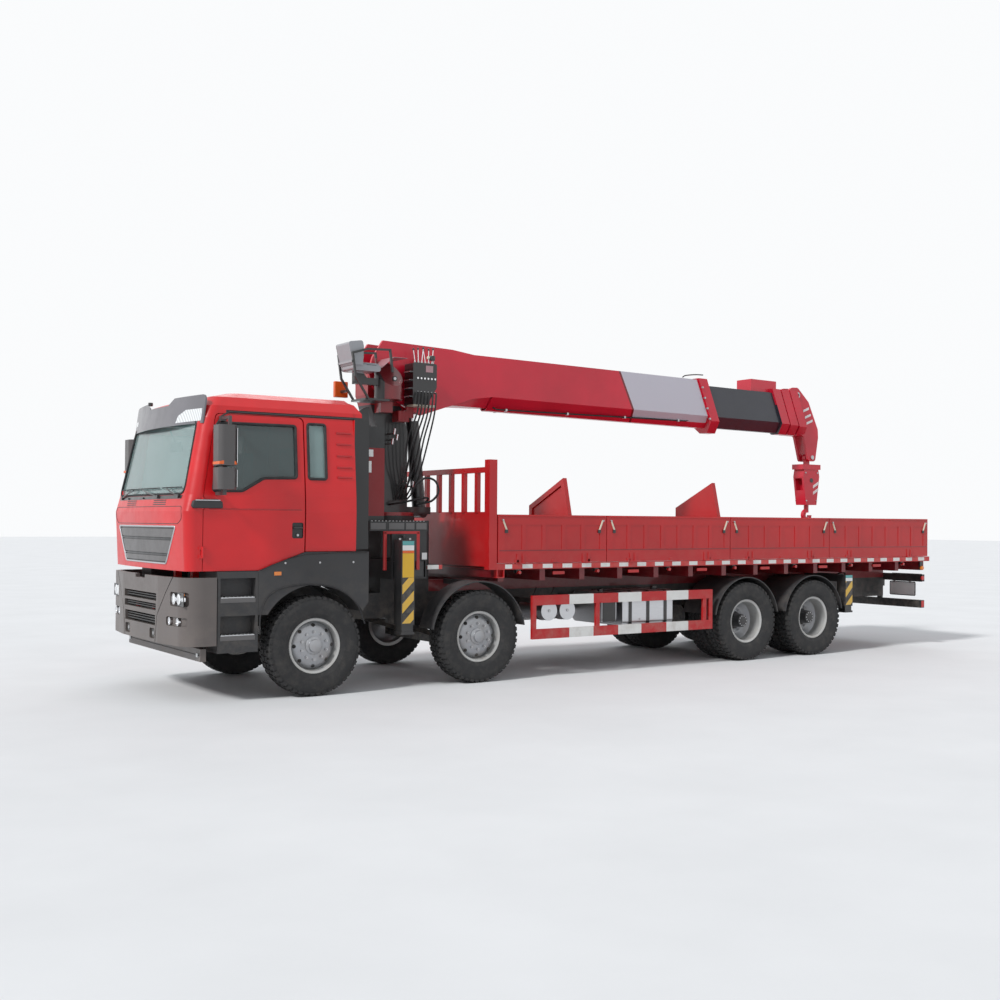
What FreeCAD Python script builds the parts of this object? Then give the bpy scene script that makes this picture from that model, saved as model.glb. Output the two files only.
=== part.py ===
import FreeCAD, Part
import math
import os
import re
import Sketcher

os.makedirs("parts", exist_ok=True)
doc = FreeCAD.newDocument("MobileCrane")

# Driving sizes in millimetres. X points forward, Y to the left, Z up, the ground is Z = 0.
SIZES = {
    # Running gear
    "axle_one_x": 4490, "axle_two_x": 2390, "axle_three_x": -2010, "axle_four_x": -3360,
    "tyre_radius": 542, "tyre_width": 296, "wheel_y": 1100, "twin_pitch": 343,
    "bead_radius": 284, "rim_width": 224, "rim_wall": 12, "flange_radius": 302, "hub_radius": 96,
    "spindle_radius": 45, "kingpin_y": 905, "kingpin_radius": 25, "beam_height": 90, "running_gap": 0.3,
    "spring_y": 390, "spring_wide": 80, "spring_thick": 60, "seat_rise": 85,
    # Frame
    "rail_top": 1040, "rail_tall": 300, "rail_outer_y": 430, "rail_flange": 85, "rail_wall": 10,
    "frame_front": 5700, "frame_rear": -5900, "member_long": 90,
    # Cab
    "cab_rear": 4010, "cab_front": 5935, "cab_half": 1225, "cab_low": 1366, "cab_mid": 1560,
    "cab_tall": 1874, "cab_wall": 50, "arch_start_x": 5139, "door_rear_x": 4610, "door_front_x": 5750,
    "door_drop": 240, "door_gap": 6, "door_rear_gap": 14, "side_lean": 75, "glass_thick": 7, "glass_set_in": 14,
    "waist_z": 1980, "cowl_z": 2150, "screen_drop": 290, "hinge_radius": 14, "hinge_pin": 8,
    "front_bow": 45, "visor_bow": 120, "visor_thick": 14, "press_deep": 6, "lip_long": 110, "cover_long": 180,
    # Bumper
    "bumper_front": 6000, "bumper_half": 1245, "bumper_low": 600, "bumper_high": 1300, "bumper_wall": 50, "lamp_deep": 25,
    # Bed
    "bed_front": 2170, "bed_rear": -5979, "bed_half": 1255, "floor_top": 1395, "floor_thick": 45,
    "edge_tall": 72, "board_thick": 42, "board_top": 1980, "board_gap": 6, "bearer_long": 80,
    "board_proud": 5, "eye_radius": 8, "eye_pin": 4, "eye_long": 40,
    "eye_rise": 3, "strap_tall": 110, "groove_deep": 3,
    "sub_rail_top": 1180,
    # Pivot that the cab tilts about
    "tilt_x": 5890, "tilt_z": 950, "tilt_pin": 30,
    # Crane
    "slew_x": 2960, "pivot_x": 3210, "pivot_z": 3620, "pivot_pin": 50, "ring_top": 1960,
    "boom_half": 215, "boom_low": 3345, "boom_tall": 681, "boom_wall": 12, "boom_chamfer": 165, "chamfer_step": 11.5,
    "boom_tube_front": 1560, "collar_x": -2006, "boom_slope": 0.43, "slide_gap": 0.5,
    "stage_two_half": 190, "stage_two_drop": 71, "stage_two_end": -3569,
    "stage_three_half": 168, "tip_half": 146, "stage_drop": 25,
    "stage_wall": 10, "collar_long": 165, "cheek_thick": 40,
    "cylinder_foot_x": 2510, "cylinder_foot_z": 2000, "cylinder_eye_x": 2640, "cylinder_eye_z": 3280,
    "barrel_radius": 85, "rod_radius": 50, "cylinder_pin": 25, "hook_pin_x": -4560, "hook_pin_z": 3010,
    "boom_tilt": 0.5,
    # Outriggers
    "beam_front_x": 3373, "beam_back_x": 3113, "beam_wide": 150, "beam_tall": 180, "beam_low": 1250,
    "channel_wall": 20, "leg_size": 170, "leg_outer_y": 1262, "leg_top": 1680, "leg_low": 720,
    "leg_wall": 12, "foot_low": 612, "rear_leg_x": -4110, "rear_leg_top": 1140,
    # Deck and oil tank between the cab and the column
    "deck_front": 3760, "deck_low": 1780, "deck_top": 1890, "deck_half": 1060, "oil_tank_top": 2960,
}

# Heights that follow from the sizes
LEVELS = {
    "cab_roof": "(cab_low + cab_tall)",
    "door_top": "(cab_roof - door_drop)",
    "screen_high": "(cab_roof - screen_drop)",
    "boom_top": "(boom_low + boom_tall)",
    "stage_two_top": "(boom_top - stage_two_drop)",
    "stage_three_top": "(stage_two_top - stage_drop)",
    "tip_top": "(stage_three_top - stage_drop)",
}

sheet = doc.addObject("Spreadsheet::Sheet", "Sizes")
for row, (alias, value) in enumerate(SIZES.items(), start=1):
    sheet.set("A%d" % row, alias)
    sheet.set("B%d" % row, str(value))
    sheet.setAlias("B%d" % row, alias)
doc.recompute()

TURNED = {
    # view: (rotation, the axis it is pushed along, the sign of that push)
    "plan": (FreeCAD.Rotation(), "z", 1),
    "side": (FreeCAD.Rotation(FreeCAD.Vector(1, 0, 0), 90), "y", -1),
    "front": (FreeCAD.Rotation(FreeCAD.Vector(1, 1, 1), 120), "x", 1),
}


def size(alias):
    """The number in a cell of the sheet."""
    return float(sheet.get(alias))


def bound(text):
    """An expression in which every level is worked out and every alias looked up in the sheet."""
    word = re.compile(r"[a-z_]{2,}")
    text = str(text)
    while any(name in LEVELS for name in word.findall(text)):
        text = word.sub(lambda m: LEVELS.get(m.group(), m.group()), text)
    return word.sub(lambda m: "Sizes." + m.group() if m.group() in SIZES else m.group(), text)


def place(obj, **axes):
    """Bind the position of an object to the sheet."""
    for axis, text in axes.items():
        obj.setExpression("Placement.Base." + axis, bound(text))


def block(name, x, y, z):
    """A box between two expressions along each axis."""
    box = doc.addObject("Part::Box", name)
    for side, (low, high) in zip(("Length", "Width", "Height"), (x, y, z)):
        box.setExpression(side, bound("(%s) - (%s)" % (high, low)))
    place(box, x=x[0], y=y[0], z=z[0])
    return box


def rod(name, axis, radius, start, end, **centre):
    """A round bar along an axis, between two expressions."""
    bar = doc.addObject("Part::Cylinder", name)
    bar.setExpression("Radius", bound(radius))
    bar.setExpression("Height", bound("(%s) - (%s)" % (end, start)))
    turns = {"x": (FreeCAD.Vector(0, 1, 0), 90), "y": (FreeCAD.Vector(1, 0, 0), -90), "z": (FreeCAD.Vector(0, 0, 1), 0)}
    bar.Placement.Rotation = FreeCAD.Rotation(*turns[axis])
    centre[axis] = start
    place(bar, **centre)
    return bar


def outline(body, name, points):
    """A closed sketch on the body's XY plane, each corner held by two expressions."""
    sketch = body.newObject("Sketcher::SketchObject", name)
    plane = [item for item in body.Origin.OriginFeatures if item.Role == "XY_Plane"][0]
    sketch.AttachmentSupport = [(plane, "")]
    sketch.MapMode = "FlatFace"
    count = len(points)
    turn = 2 * math.pi / count
    ring = [FreeCAD.Vector(math.cos(turn * i), math.sin(turn * i), 0) * 1000 for i in range(count)]
    for i in range(count):
        sketch.addGeometry(Part.LineSegment(ring[i], ring[(i + 1) % count]), False)
    for i in range(count):
        sketch.addConstraint(Sketcher.Constraint("Coincident", i, 2, (i + 1) % count, 1))
    for i, point in enumerate(points):
        for kind, letter, text, now in (("DistanceX", "u", point[0], ring[i].x), ("DistanceY", "v", point[1], ring[i].y)):
            index = sketch.addConstraint(Sketcher.Constraint(kind, -1, 1, i, 1, now))
            sketch.renameConstraint(index, letter + str(i))
            sketch.setExpression("Constraints.%s%d" % (letter, i), bound(text))
    return sketch


def stands_at(edge, corner):
    """Whether an edge is pushed straight up from a corner of the sketch."""
    ends = [vertex.Point for vertex in edge.Vertexes]
    return len(ends) == 2 and all(math.hypot(end.x - corner.x, end.y - corner.y) < 0.01 for end in ends)


def prism(name, view, points, start, end):
    """A padded outline; a third value at a corner is the radius of its fillet."""
    body = doc.addObject("PartDesign::Body", name)
    sketch = outline(body, name + "_outline", points)
    pad = body.newObject("PartDesign::Pad", name + "_pad")
    pad.Profile = sketch
    pad.setExpression("Length", bound("(%s) - (%s)" % (end, start)))
    rotation, axis, sign = TURNED[view]
    body.Placement.Rotation = rotation
    place(body, **{axis: start if sign > 0 else end})
    radii = sorted({point[2] for point in points if len(point) > 2})
    last = pad
    for number, radius in enumerate(radii):
        last.recompute() if number else doc.recompute([body, sketch, pad], True)
        corners = [sketch.Geometry[i].StartPoint for i, point in enumerate(points) if point[2:] == (radius,)]
        fillet = body.newObject("PartDesign::Fillet", "%s_corner%d" % (name, number))
        fillet.Base = (last, ["Edge%d" % index for index, edge in enumerate(last.Shape.Edges, start=1)
                              if any(stands_at(edge, corner) for corner in corners)])
        fillet.setExpression("Radius", bound(radius))
        last = fillet
    return body


def turned(name, points, x, y, z):
    """A body turned about a line along Y: each point is (radius, place along Y)."""
    body = doc.addObject("PartDesign::Body", name)
    sketch = outline(body, name + "_outline", points)
    spin = body.newObject("PartDesign::Revolution", name + "_turn")
    spin.Profile = sketch
    spin.ReferenceAxis = (sketch, ["V_Axis"])
    spin.Angle = 360
    place(body, x=x, y=y, z=z)
    return body


def bowed_section(name, level, rear, front, half, radius, bow):
    """A sketch at a height: straight rear and sides, rounded front corners and a front that bows out."""
    sketch = doc.addObject("Sketcher::SketchObject", name)
    place(sketch, z=level)
    corner = "((%s) - (%s))" % (half, radius)
    straight = "((%s) - (%s))" % (front, radius)
    centre = "(%s) + (%s) - (%s ^ 2 + (%s) ^ 2) / (2 * (%s))" % (front, bow, corner, bow, bow)
    # Each corner in turn, then the arc that starts there as centre, radius, first and last angle
    near = [((4000, 1200), None), ((4000, -1200), None), ((5800, -1200), (5800, -1100, 100, -90, 0)),
            ((5900, -1100), (-7500, 0, 13445, -4.693, 4.693)), ((5900, 1100), (5800, 1100, 100, 0, 90)), ((5800, 1200), None)]
    texts = [(rear, half), (rear, "-(%s)" % half), (straight, "-(%s)" % half), (front, "-" + corner), (front, corner),
             (straight, half)]
    centres = {2: straight, 3: centre, 4: straight}
    for number, (start, arc) in enumerate(near):
        if arc:
            circle = Part.Circle(FreeCAD.Vector(arc[0], arc[1], 0), FreeCAD.Vector(0, 0, 1), arc[2])
            sketch.addGeometry(Part.ArcOfCircle(circle, math.radians(arc[3]), math.radians(arc[4])), False)
        else:
            end = near[(number + 1) % len(near)][0]
            sketch.addGeometry(Part.LineSegment(FreeCAD.Vector(*start, 0), FreeCAD.Vector(*end, 0)), False)
    for number in range(len(near)):
        sketch.addConstraint(Sketcher.Constraint("Coincident", number, 2, (number + 1) % len(near), 1))
    held = [("DistanceX", "u", number, 1, texts[number][0], near[number][0][0]) for number in range(len(near))]
    held += [("DistanceY", "v", number, 1, texts[number][1], near[number][0][1]) for number in range(len(near))]
    held += [("DistanceX", "c", number, 3, text, near[number][1][0]) for number, text in centres.items()]
    for kind, letter, number, spot, text, now in held:
        index = sketch.addConstraint(Sketcher.Constraint(kind, -1, 1, number, spot, now))
        sketch.renameConstraint(index, letter + str(number))
        sketch.setExpression("Constraints.%s%d" % (letter, number), bound(text))
    return sketch


def loft(name, sections):
    """A solid with straight lines from each section to the next."""
    solid = doc.addObject("Part::Loft", name)
    solid.Sections = sections
    solid.Solid = True
    solid.Ruled = True
    return solid


def fuse(name, pieces):
    joined = doc.addObject("Part::MultiFuse", name)
    joined.Shapes = pieces
    joined.Refine = True
    return joined


def group(name, pieces):
    together = doc.addObject("Part::Compound", name)
    together.Links = pieces
    return together


def cut(name, base, tools):
    for number, tool in enumerate(tools, start=1):
        taken = doc.addObject("Part::Cut", name if number == len(tools) else "%s_step%d" % (name, number))
        taken.Base = base
        taken.Tool = tool
        base = taken
    return base


def common(name, pieces):
    shared = doc.addObject("Part::MultiCommon", name)
    shared.Shapes = pieces
    return shared


def mirrored(name, source):
    """The same piece on the other side of the vehicle."""
    twin = doc.addObject("Part::Mirroring", name)
    twin.Source = source
    twin.Normal = FreeCAD.Vector(0, 1, 0)
    return twin


def both_sides(name, source):
    return [source, mirrored(name + "_right", source)]


NODES = {}


def node(label, shape):
    """Keep a finished piece under the name of its file."""
    shape.Label = label
    NODES[label] = shape
    return shape


# Frame, axles and springs
def build_frame():
    rail = cut("rail_left", block("rail_bar", ("frame_rear", "frame_front"), ("rail_outer_y - rail_flange", "rail_outer_y"),
                                  ("rail_top - rail_tall", "rail_top")),
               [block("rail_hollow", ("frame_rear - 1", "frame_front + 1"),
                      ("rail_outer_y - rail_flange - 1", "rail_outer_y - rail_wall"),
                      ("rail_top - rail_tall + rail_wall", "rail_top - rail_wall"))])
    members = []
    for number, spot in enumerate(("frame_front - 300", "3600", "2685", "1200", "-300", "-1500", "-2685", "-3900", "frame_rear + 60")):
        members.append(block("cross_member%d" % number, ("%s - member_long / 2" % spot, "%s + member_long / 2" % spot),
                             ("rail_wall - rail_outer_y", "rail_outer_y - rail_wall"),
                             ("rail_top - rail_tall + rail_wall", "rail_top - rail_wall - 60")))
    horn = block("horn", ("frame_front - 10", "tilt_x + 40"), ("rail_outer_y - rail_flange - 25", "rail_outer_y - rail_flange"),
                 ("tilt_z - 50", "tilt_z + 50"))
    pivot = rod("cab_pivot_bar", "y", "tilt_pin", "rail_flange - rail_outer_y", "rail_outer_y - rail_flange", x="tilt_x", z="tilt_z")
    post = block("cab_mount_post", ("cab_rear + 40", "cab_rear + 120"), ("rail_outer_y - rail_flange", "rail_outer_y"),
                 ("rail_top", "cab_mid - 80"))
    beam = block("cab_mount_beam", ("cab_rear + 40", "cab_rear + 120"), ("-500", "500"), ("cab_mid - 90", "cab_mid - running_gap"))
    mounts = both_sides("horn", horn) + both_sides("cab_mount_post", post) + [pivot, beam]
    node("chassis_frame", fuse("frame_joined", both_sides("rail", rail) + members + mounts))


def build_axles():
    pieces = []
    for name, x in (("one", "axle_one_x"), ("two", "axle_two_x")):
        beam = block("beam_" + name, (x + " - 50", x + " + 50"), ("60 - kingpin_y", "kingpin_y - 60"),
                     ("tyre_radius - 150", "tyre_radius - 150 + beam_height"))
        ends = []
        for side, sign in (("left", ""), ("right", "-")):
            y = sign + "kingpin_y"
            ends.append(rod("boss_%s_%s" % (name, side), "z", 52, "tyre_radius - 70", "tyre_radius + 70", x=x, y=y))
            for part, end, bottom in (("low", "50", "150"), ("mid", "20", "68")):
                near, far = "kingpin_y - 160", "kingpin_y - " + end
                ends.append(block("neck_%s_%s_%s" % (part, name, side), (x + " - 40", x + " + 40"),
                                  ("-(%s)" % far, "-(%s)" % near) if sign else (near, far),
                                  ("tyre_radius - " + bottom, "tyre_radius + 30")))
        bores = [rod("bore_%s_%s" % (name, side), "z", "kingpin_radius + running_gap", "0", "tyre_radius * 2", x=x, y=y)
                 for side, y in (("left", "kingpin_y"), ("right", "-kingpin_y"))]
        pieces.append(cut("front_axle_" + name, fuse("front_beam_" + name, [beam] + ends), bores))
    for name, x in (("three", "axle_three_x"), ("four", "axle_four_x")):
        pieces.append(fuse("rear_axle_" + name, [
            rod("axle_tube_" + name, "y", 75, "-600", "600", x=x, z="tyre_radius"),
            rod("axle_stub_" + name, "y", "spindle_radius", "-wheel_y - 40", "wheel_y + 40", x=x, z="tyre_radius"),
            rod("axle_gear_" + name, "x", 190, x + " - 160", x + " + 200", y=0, z="tyre_radius")]
            + [block("spring_seat_%s%d" % (name, number), (x + " - 60", x + " + 60"), (y + " - spring_wide / 2", y + " + spring_wide / 2"),
                     ("tyre_radius", "tyre_radius + seat_rise")) for number, y in enumerate(("spring_y", "-spring_y"))]))
    node("axles", group("axle_set", pieces))


def build_springs():
    pieces = []
    low = "tyre_radius - 150 + beam_height"
    for name, x in (("one", "axle_one_x"), ("two", "axle_two_x")):
        leaf = prism("leaf_" + name, "side", [
            (x + " - 130", low), (x + " + 130", low), (x + " + 780", "rail_top - rail_tall - 60"),
            (x + " + 780", "rail_top - rail_tall"), (x + " + 700", "rail_top - rail_tall"),
            (x + " + 130", low + " + spring_thick"), (x + " - 130", low + " + spring_thick"),
            (x + " - 700", "rail_top - rail_tall"), (x + " - 780", "rail_top - rail_tall"),
            (x + " - 780", "rail_top - rail_tall - 60")], "spring_y - spring_wide / 2", "spring_y + spring_wide / 2")
        pieces += both_sides("leaf_" + name, leaf)
    middle = "(axle_three_x + axle_four_x) / 2"
    leaf = prism("leaf_rear", "side", [
        ("axle_four_x - 60", "tyre_radius + seat_rise"), ("axle_three_x + 60", "tyre_radius + seat_rise"),
        ("axle_three_x + 60", "tyre_radius + seat_rise + 25"), (middle + " + 100", "rail_top - rail_tall"),
        (middle + " - 100", "rail_top - rail_tall"), ("axle_four_x - 60", "tyre_radius + seat_rise + 25")], "spring_y - spring_wide / 2", "spring_y + spring_wide / 2")
    pieces += both_sides("leaf_rear", leaf)
    node("leaf_springs", group("spring_set", pieces))


def build_engine():
    feet = [block("engine_foot%d" % number, (x, x + " + 120"), ("rail_wall - rail_outer_y", "rail_outer_y - rail_wall"), ("820", "960"))
            for number, x in enumerate(("4300", "5180"))]
    node("engine_block", fuse("engine_solid", [block("engine_body", ("4250", "5350"), ("-330", "330"), ("700", "1340"))] + feet))


# Wheels
def tyre_outline():
    half = "tyre_width / 2"
    bead = [("bead_radius + running_gap", "rim_width / 2 - rim_wall - running_gap"),
            ("flange_radius + running_gap", "rim_width / 2 - rim_wall - running_gap"),
            ("flange_radius + running_gap", "rim_width / 2 + 6")]
    return [(radius, "-(%s)" % y) for radius, y in bead] + [
            ("bead_radius + 60", "-%s + 6" % half),
            ("tyre_radius * 0.78", "-" + half), ("tyre_radius - 22", "-%s + 6" % half), ("tyre_radius", "-%s + 30" % half),
            ("tyre_radius", half + " - 30"), ("tyre_radius - 22", half + " - 6"), ("tyre_radius * 0.78", half),
            ("bead_radius + 60", half + " - 6")] + bead[::-1]


def rim_barrel(name, x, y):
    """The rim's rolled band with a flange at each edge."""
    half = "rim_width / 2"
    return turned(name, [("bead_radius - rim_wall", "-" + half), ("flange_radius", "-" + half),
                         ("flange_radius", "-%s + rim_wall" % half), ("bead_radius", "-%s + rim_wall" % half),
                         ("bead_radius", half + " - rim_wall"), ("flange_radius", half + " - rim_wall"),
                         ("flange_radius", half), ("bead_radius - rim_wall", half)], x, y, "tyre_radius")


def build_front_wheel(name, x):
    left = turned("tyre_body_" + name, tyre_outline(), x, "wheel_y", "tyre_radius")
    disc = turned("disc_" + name, [
        ("spindle_radius + running_gap", "-60"), ("hub_radius", "-60"), ("hub_radius", "72"), ("200", "62"),
        ("bead_radius - rim_wall + 1", "20"), ("bead_radius - rim_wall + 1", "36"), ("205", "76"), ("hub_radius", "86"),
        ("hub_radius - 16", "104"), ("spindle_radius + running_gap", "104")], x, "wheel_y", "tyre_radius")
    rim = fuse("rim_body_" + name, [rim_barrel("band_" + name, x, "wheel_y"), disc])
    node("tyre_%s_left" % name, left)
    node("rim_%s_left" % name, rim)
    node("tyre_%s_right" % name, mirrored("tyre_twin_" + name, left))
    node("rim_%s_right" % name, mirrored("rim_twin_" + name, rim))


def build_twin_wheel(name, x):
    inner_y = "wheel_y - twin_pitch"
    tyres = group("tyre_pair_" + name, [
        turned("tyre_outer_" + name, tyre_outline(), x, "wheel_y", "tyre_radius"),
        turned("tyre_inner_" + name, tyre_outline(), x, inner_y, "tyre_radius")])
    mid = "-twin_pitch / 2"
    disc = turned("disc_" + name, [
        ("spindle_radius + running_gap", mid + " - 110"), ("hub_radius + 24", mid + " - 110"),
        ("hub_radius + 24", mid + " - 14"), ("190", mid + " - 14"), ("bead_radius - rim_wall + 1", "-twin_pitch + 70"),
        ("bead_radius - rim_wall + 1", "-twin_pitch + 88"), ("200", mid), ("bead_radius - rim_wall + 1", "-88"),
        ("bead_radius - rim_wall + 1", "-70"), ("190", mid + " + 14"), ("hub_radius + 24", mid + " + 14"),
        ("hub_radius + 24", "-20"), ("hub_radius - 10", "60"), ("spindle_radius + running_gap", "60")],
        x, "wheel_y", "tyre_radius")
    rim = fuse("rim_pair_" + name, [rim_barrel("band_outer_" + name, x, "wheel_y"),
                                    rim_barrel("band_inner_" + name, x, inner_y), disc])
    node("tyres_%s_left" % name, tyres)
    node("rims_%s_left" % name, rim)
    node("tyres_%s_right" % name, mirrored("tyres_twin_" + name, tyres))
    node("rims_%s_right" % name, mirrored("rims_twin_" + name, rim))


def build_knuckle(name, x):
    y = "kingpin_y"
    left = fuse("knuckle_" + name, [
        rod("knuckle_low_" + name, "z", 46, "tyre_radius - 140", "tyre_radius - 74", x=x, y=y),
        rod("knuckle_high_" + name, "z", 46, "tyre_radius + 74", "tyre_radius + 140", x=x, y=y),
        rod("kingpin_" + name, "z", "kingpin_radius", "tyre_radius - 100", "tyre_radius + 100", x=x, y=y),
        block("knuckle_web_" + name, (x + " - 46", x + " + 46"), (y + " + 60", y + " + 100"),
              ("tyre_radius - 140", "tyre_radius + 140")),
        block("knuckle_low_arm_" + name, (x + " - 46", x + " + 46"), (y, y + " + 61"), ("tyre_radius - 140", "tyre_radius - 74")),
        block("knuckle_high_arm_" + name, (x + " - 46", x + " + 46"), (y, y + " + 61"), ("tyre_radius + 74", "tyre_radius + 140")),
        rod("spindle_" + name, "y", "spindle_radius", y + " + 90", "wheel_y + 96", x=x, z="tyre_radius")])
    node("knuckle_%s_left" % name, left)
    node("knuckle_%s_right" % name, mirrored("knuckle_twin_" + name, left))


# Cab
# Cross sections of the cab from bottom to top: height, front, half width, corner radius, and the share of an
# inset that lowers the section instead of drawing it in
CAB_SECTIONS = (
    ("cab_low", "cab_front - 25", "cab_half - 10", "100", 0),
    ("waist_z", "cab_front", "cab_half + 3", "100", 0),
    ("cowl_z", "cab_front - 35", "cab_half - 3", "140", 0),
    ("screen_high", "cab_front - 200", "cab_half - side_lean", "130", 0),
    ("(cab_roof - 160)", "cab_front - 245", "cab_half - side_lean - 20", "130", 0.3),
    ("(cab_roof - 60)", "cab_front - 335", "cab_half - side_lean - 100", "130", 0.7),
    ("cab_roof", "cab_front - 585", "cab_half - side_lean - 250", "130", 1),
)
# How many of them have upright sides
WALL_SECTIONS = 5


def cab_volume(name, inset):
    """The cab's outer form drawn in by an inset, with its underside raised behind the front arch."""
    sections = []
    for number, (level, front, half, radius, sunk) in enumerate(CAB_SECTIONS):
        drawn = "%s * (%s)" % (1 - sunk, inset)
        height = "%s + (%s)" % (level, inset) if number == 0 else "%s - %s * (%s)" % (level, sunk, inset)
        sections.append(bowed_section("%s_section%d" % (name, number), height, "cab_rear + (%s)" % inset, "%s - %s" % (front, drawn),
                                      "%s - %s" % (half, drawn), "(%s - %s)" % (radius, drawn), "front_bow"))
    under = prism(name + "_under", "side", [
        ("cab_rear - 50", "cab_mid + (%s)" % inset), ("door_rear_x", "cab_mid + (%s)" % inset), ("arch_start_x", "cab_low + (%s)" % inset),
        ("cab_front + 2 * front_bow", "cab_low + (%s)" % inset), ("cab_front + 2 * front_bow", "cab_roof + 50"),
        ("cab_rear - 50", "cab_roof + 50")], "-cab_half - 50", "cab_half + 50")
    return common(name, [loft(name + "_loft", sections), under])


def between_walls(name, inset, rows, start, end):
    """All that lies between the two side walls once they are drawn in by an inset, in front view."""
    edge = [("(%s - (%s))" % (row[2], inset), row[0]) for row in CAB_SECTIONS[:rows]]
    edge = [(edge[0][0], "cab_low - 300")] + edge + [(edge[-1][0], edge[-1][1] + " + 200")] * (rows == WALL_SECTIONS)
    return prism(name, "front", edge + [("-" + y, z) for y, z in edge[::-1]], start, end)


def within_sides(name, inset):
    return between_walls(name, inset, WALL_SECTIONS, "cab_rear - 100", "cab_front + 100")


def door_outline(gap, rear_gap):
    """The left door's edge in side view, drawn in by a gap."""
    g = str(gap)
    r = str(rear_gap)
    return [("door_rear_x + " + r, "cab_mid - 200"), ("door_rear_x + " + r, "door_top - %s" % g, "60"),
            ("door_front_x - 155 - " + g, "door_top - %s" % g, "60"), ("door_front_x - " + g, "cowl_z - 30"),
            ("door_front_x - " + g, "cab_low - 200")]


def door_window(shrink):
    s = str(shrink)
    return [("door_front_x - 110 - " + s, "cowl_z + 40 + " + s), ("door_front_x - 190 - " + s, "door_top - 100 - " + s, "40"),
            ("door_rear_x + 102 + " + s, "door_top - 95 - " + s, "40"), ("door_rear_x + 102 + " + s, "cowl_z + 195 + " + s, "30"),
            ("door_front_x - 667", "cowl_z + 185 + " + s), ("door_front_x - 427 + " + s, "cowl_z + 45 + " + s)]


def quarter_window(shrink):
    s = str(shrink)
    return [("door_rear_x - 247 + " + s, "cowl_z + 190 + " + s, "25"), ("door_rear_x - 40 - " + s, "cowl_z + 190 + " + s, "25"),
            ("door_rear_x - 40 - " + s, "door_top - 65 - " + s, "25"), ("door_rear_x - 247 + " + s, "door_top - 65 - " + s, "25")]


def screen_outline(shrink):
    s = str(shrink)
    return [("140 - cab_half + " + s, "cowl_z + 10 + " + s, "110"), ("cab_half - 140 - " + s, "cowl_z + 10 + " + s, "110"),
            ("cab_half - side_lean - 140 - " + s, "screen_high - 15 - " + s, "80"),
            ("140 + side_lean - cab_half + " + s, "screen_high - 15 - " + s, "80")]


def grille_band(name, low, high):
    """A strip of the grille, whose sides lean outward to the top; heights count from the cab's lower edge."""
    return prism(name, "front", [("-620 - %d * 0.7" % low, "cab_low + %d" % low), ("620 + %d * 0.7" % low, "cab_low + %d" % low),
                                 ("620 + %d * 0.7" % high, "cab_low + %d" % high), ("-620 - %d * 0.7" % high, "cab_low + %d" % high)],
                 "cab_front - 150", "cab_front + 2 * front_bow")


# Heights of the grille's strips over the cab's lower edge, and of the pressed ribs under the roof
GRILLE_BANDS = ((80, 150), (168, 316), (334, 438))
RIB_DROPS = (390, 513, 640, 766, 875)


# Heights of the door hinges
HINGE_LEVELS = (("low", "1560"), ("high", "2060"))


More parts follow.
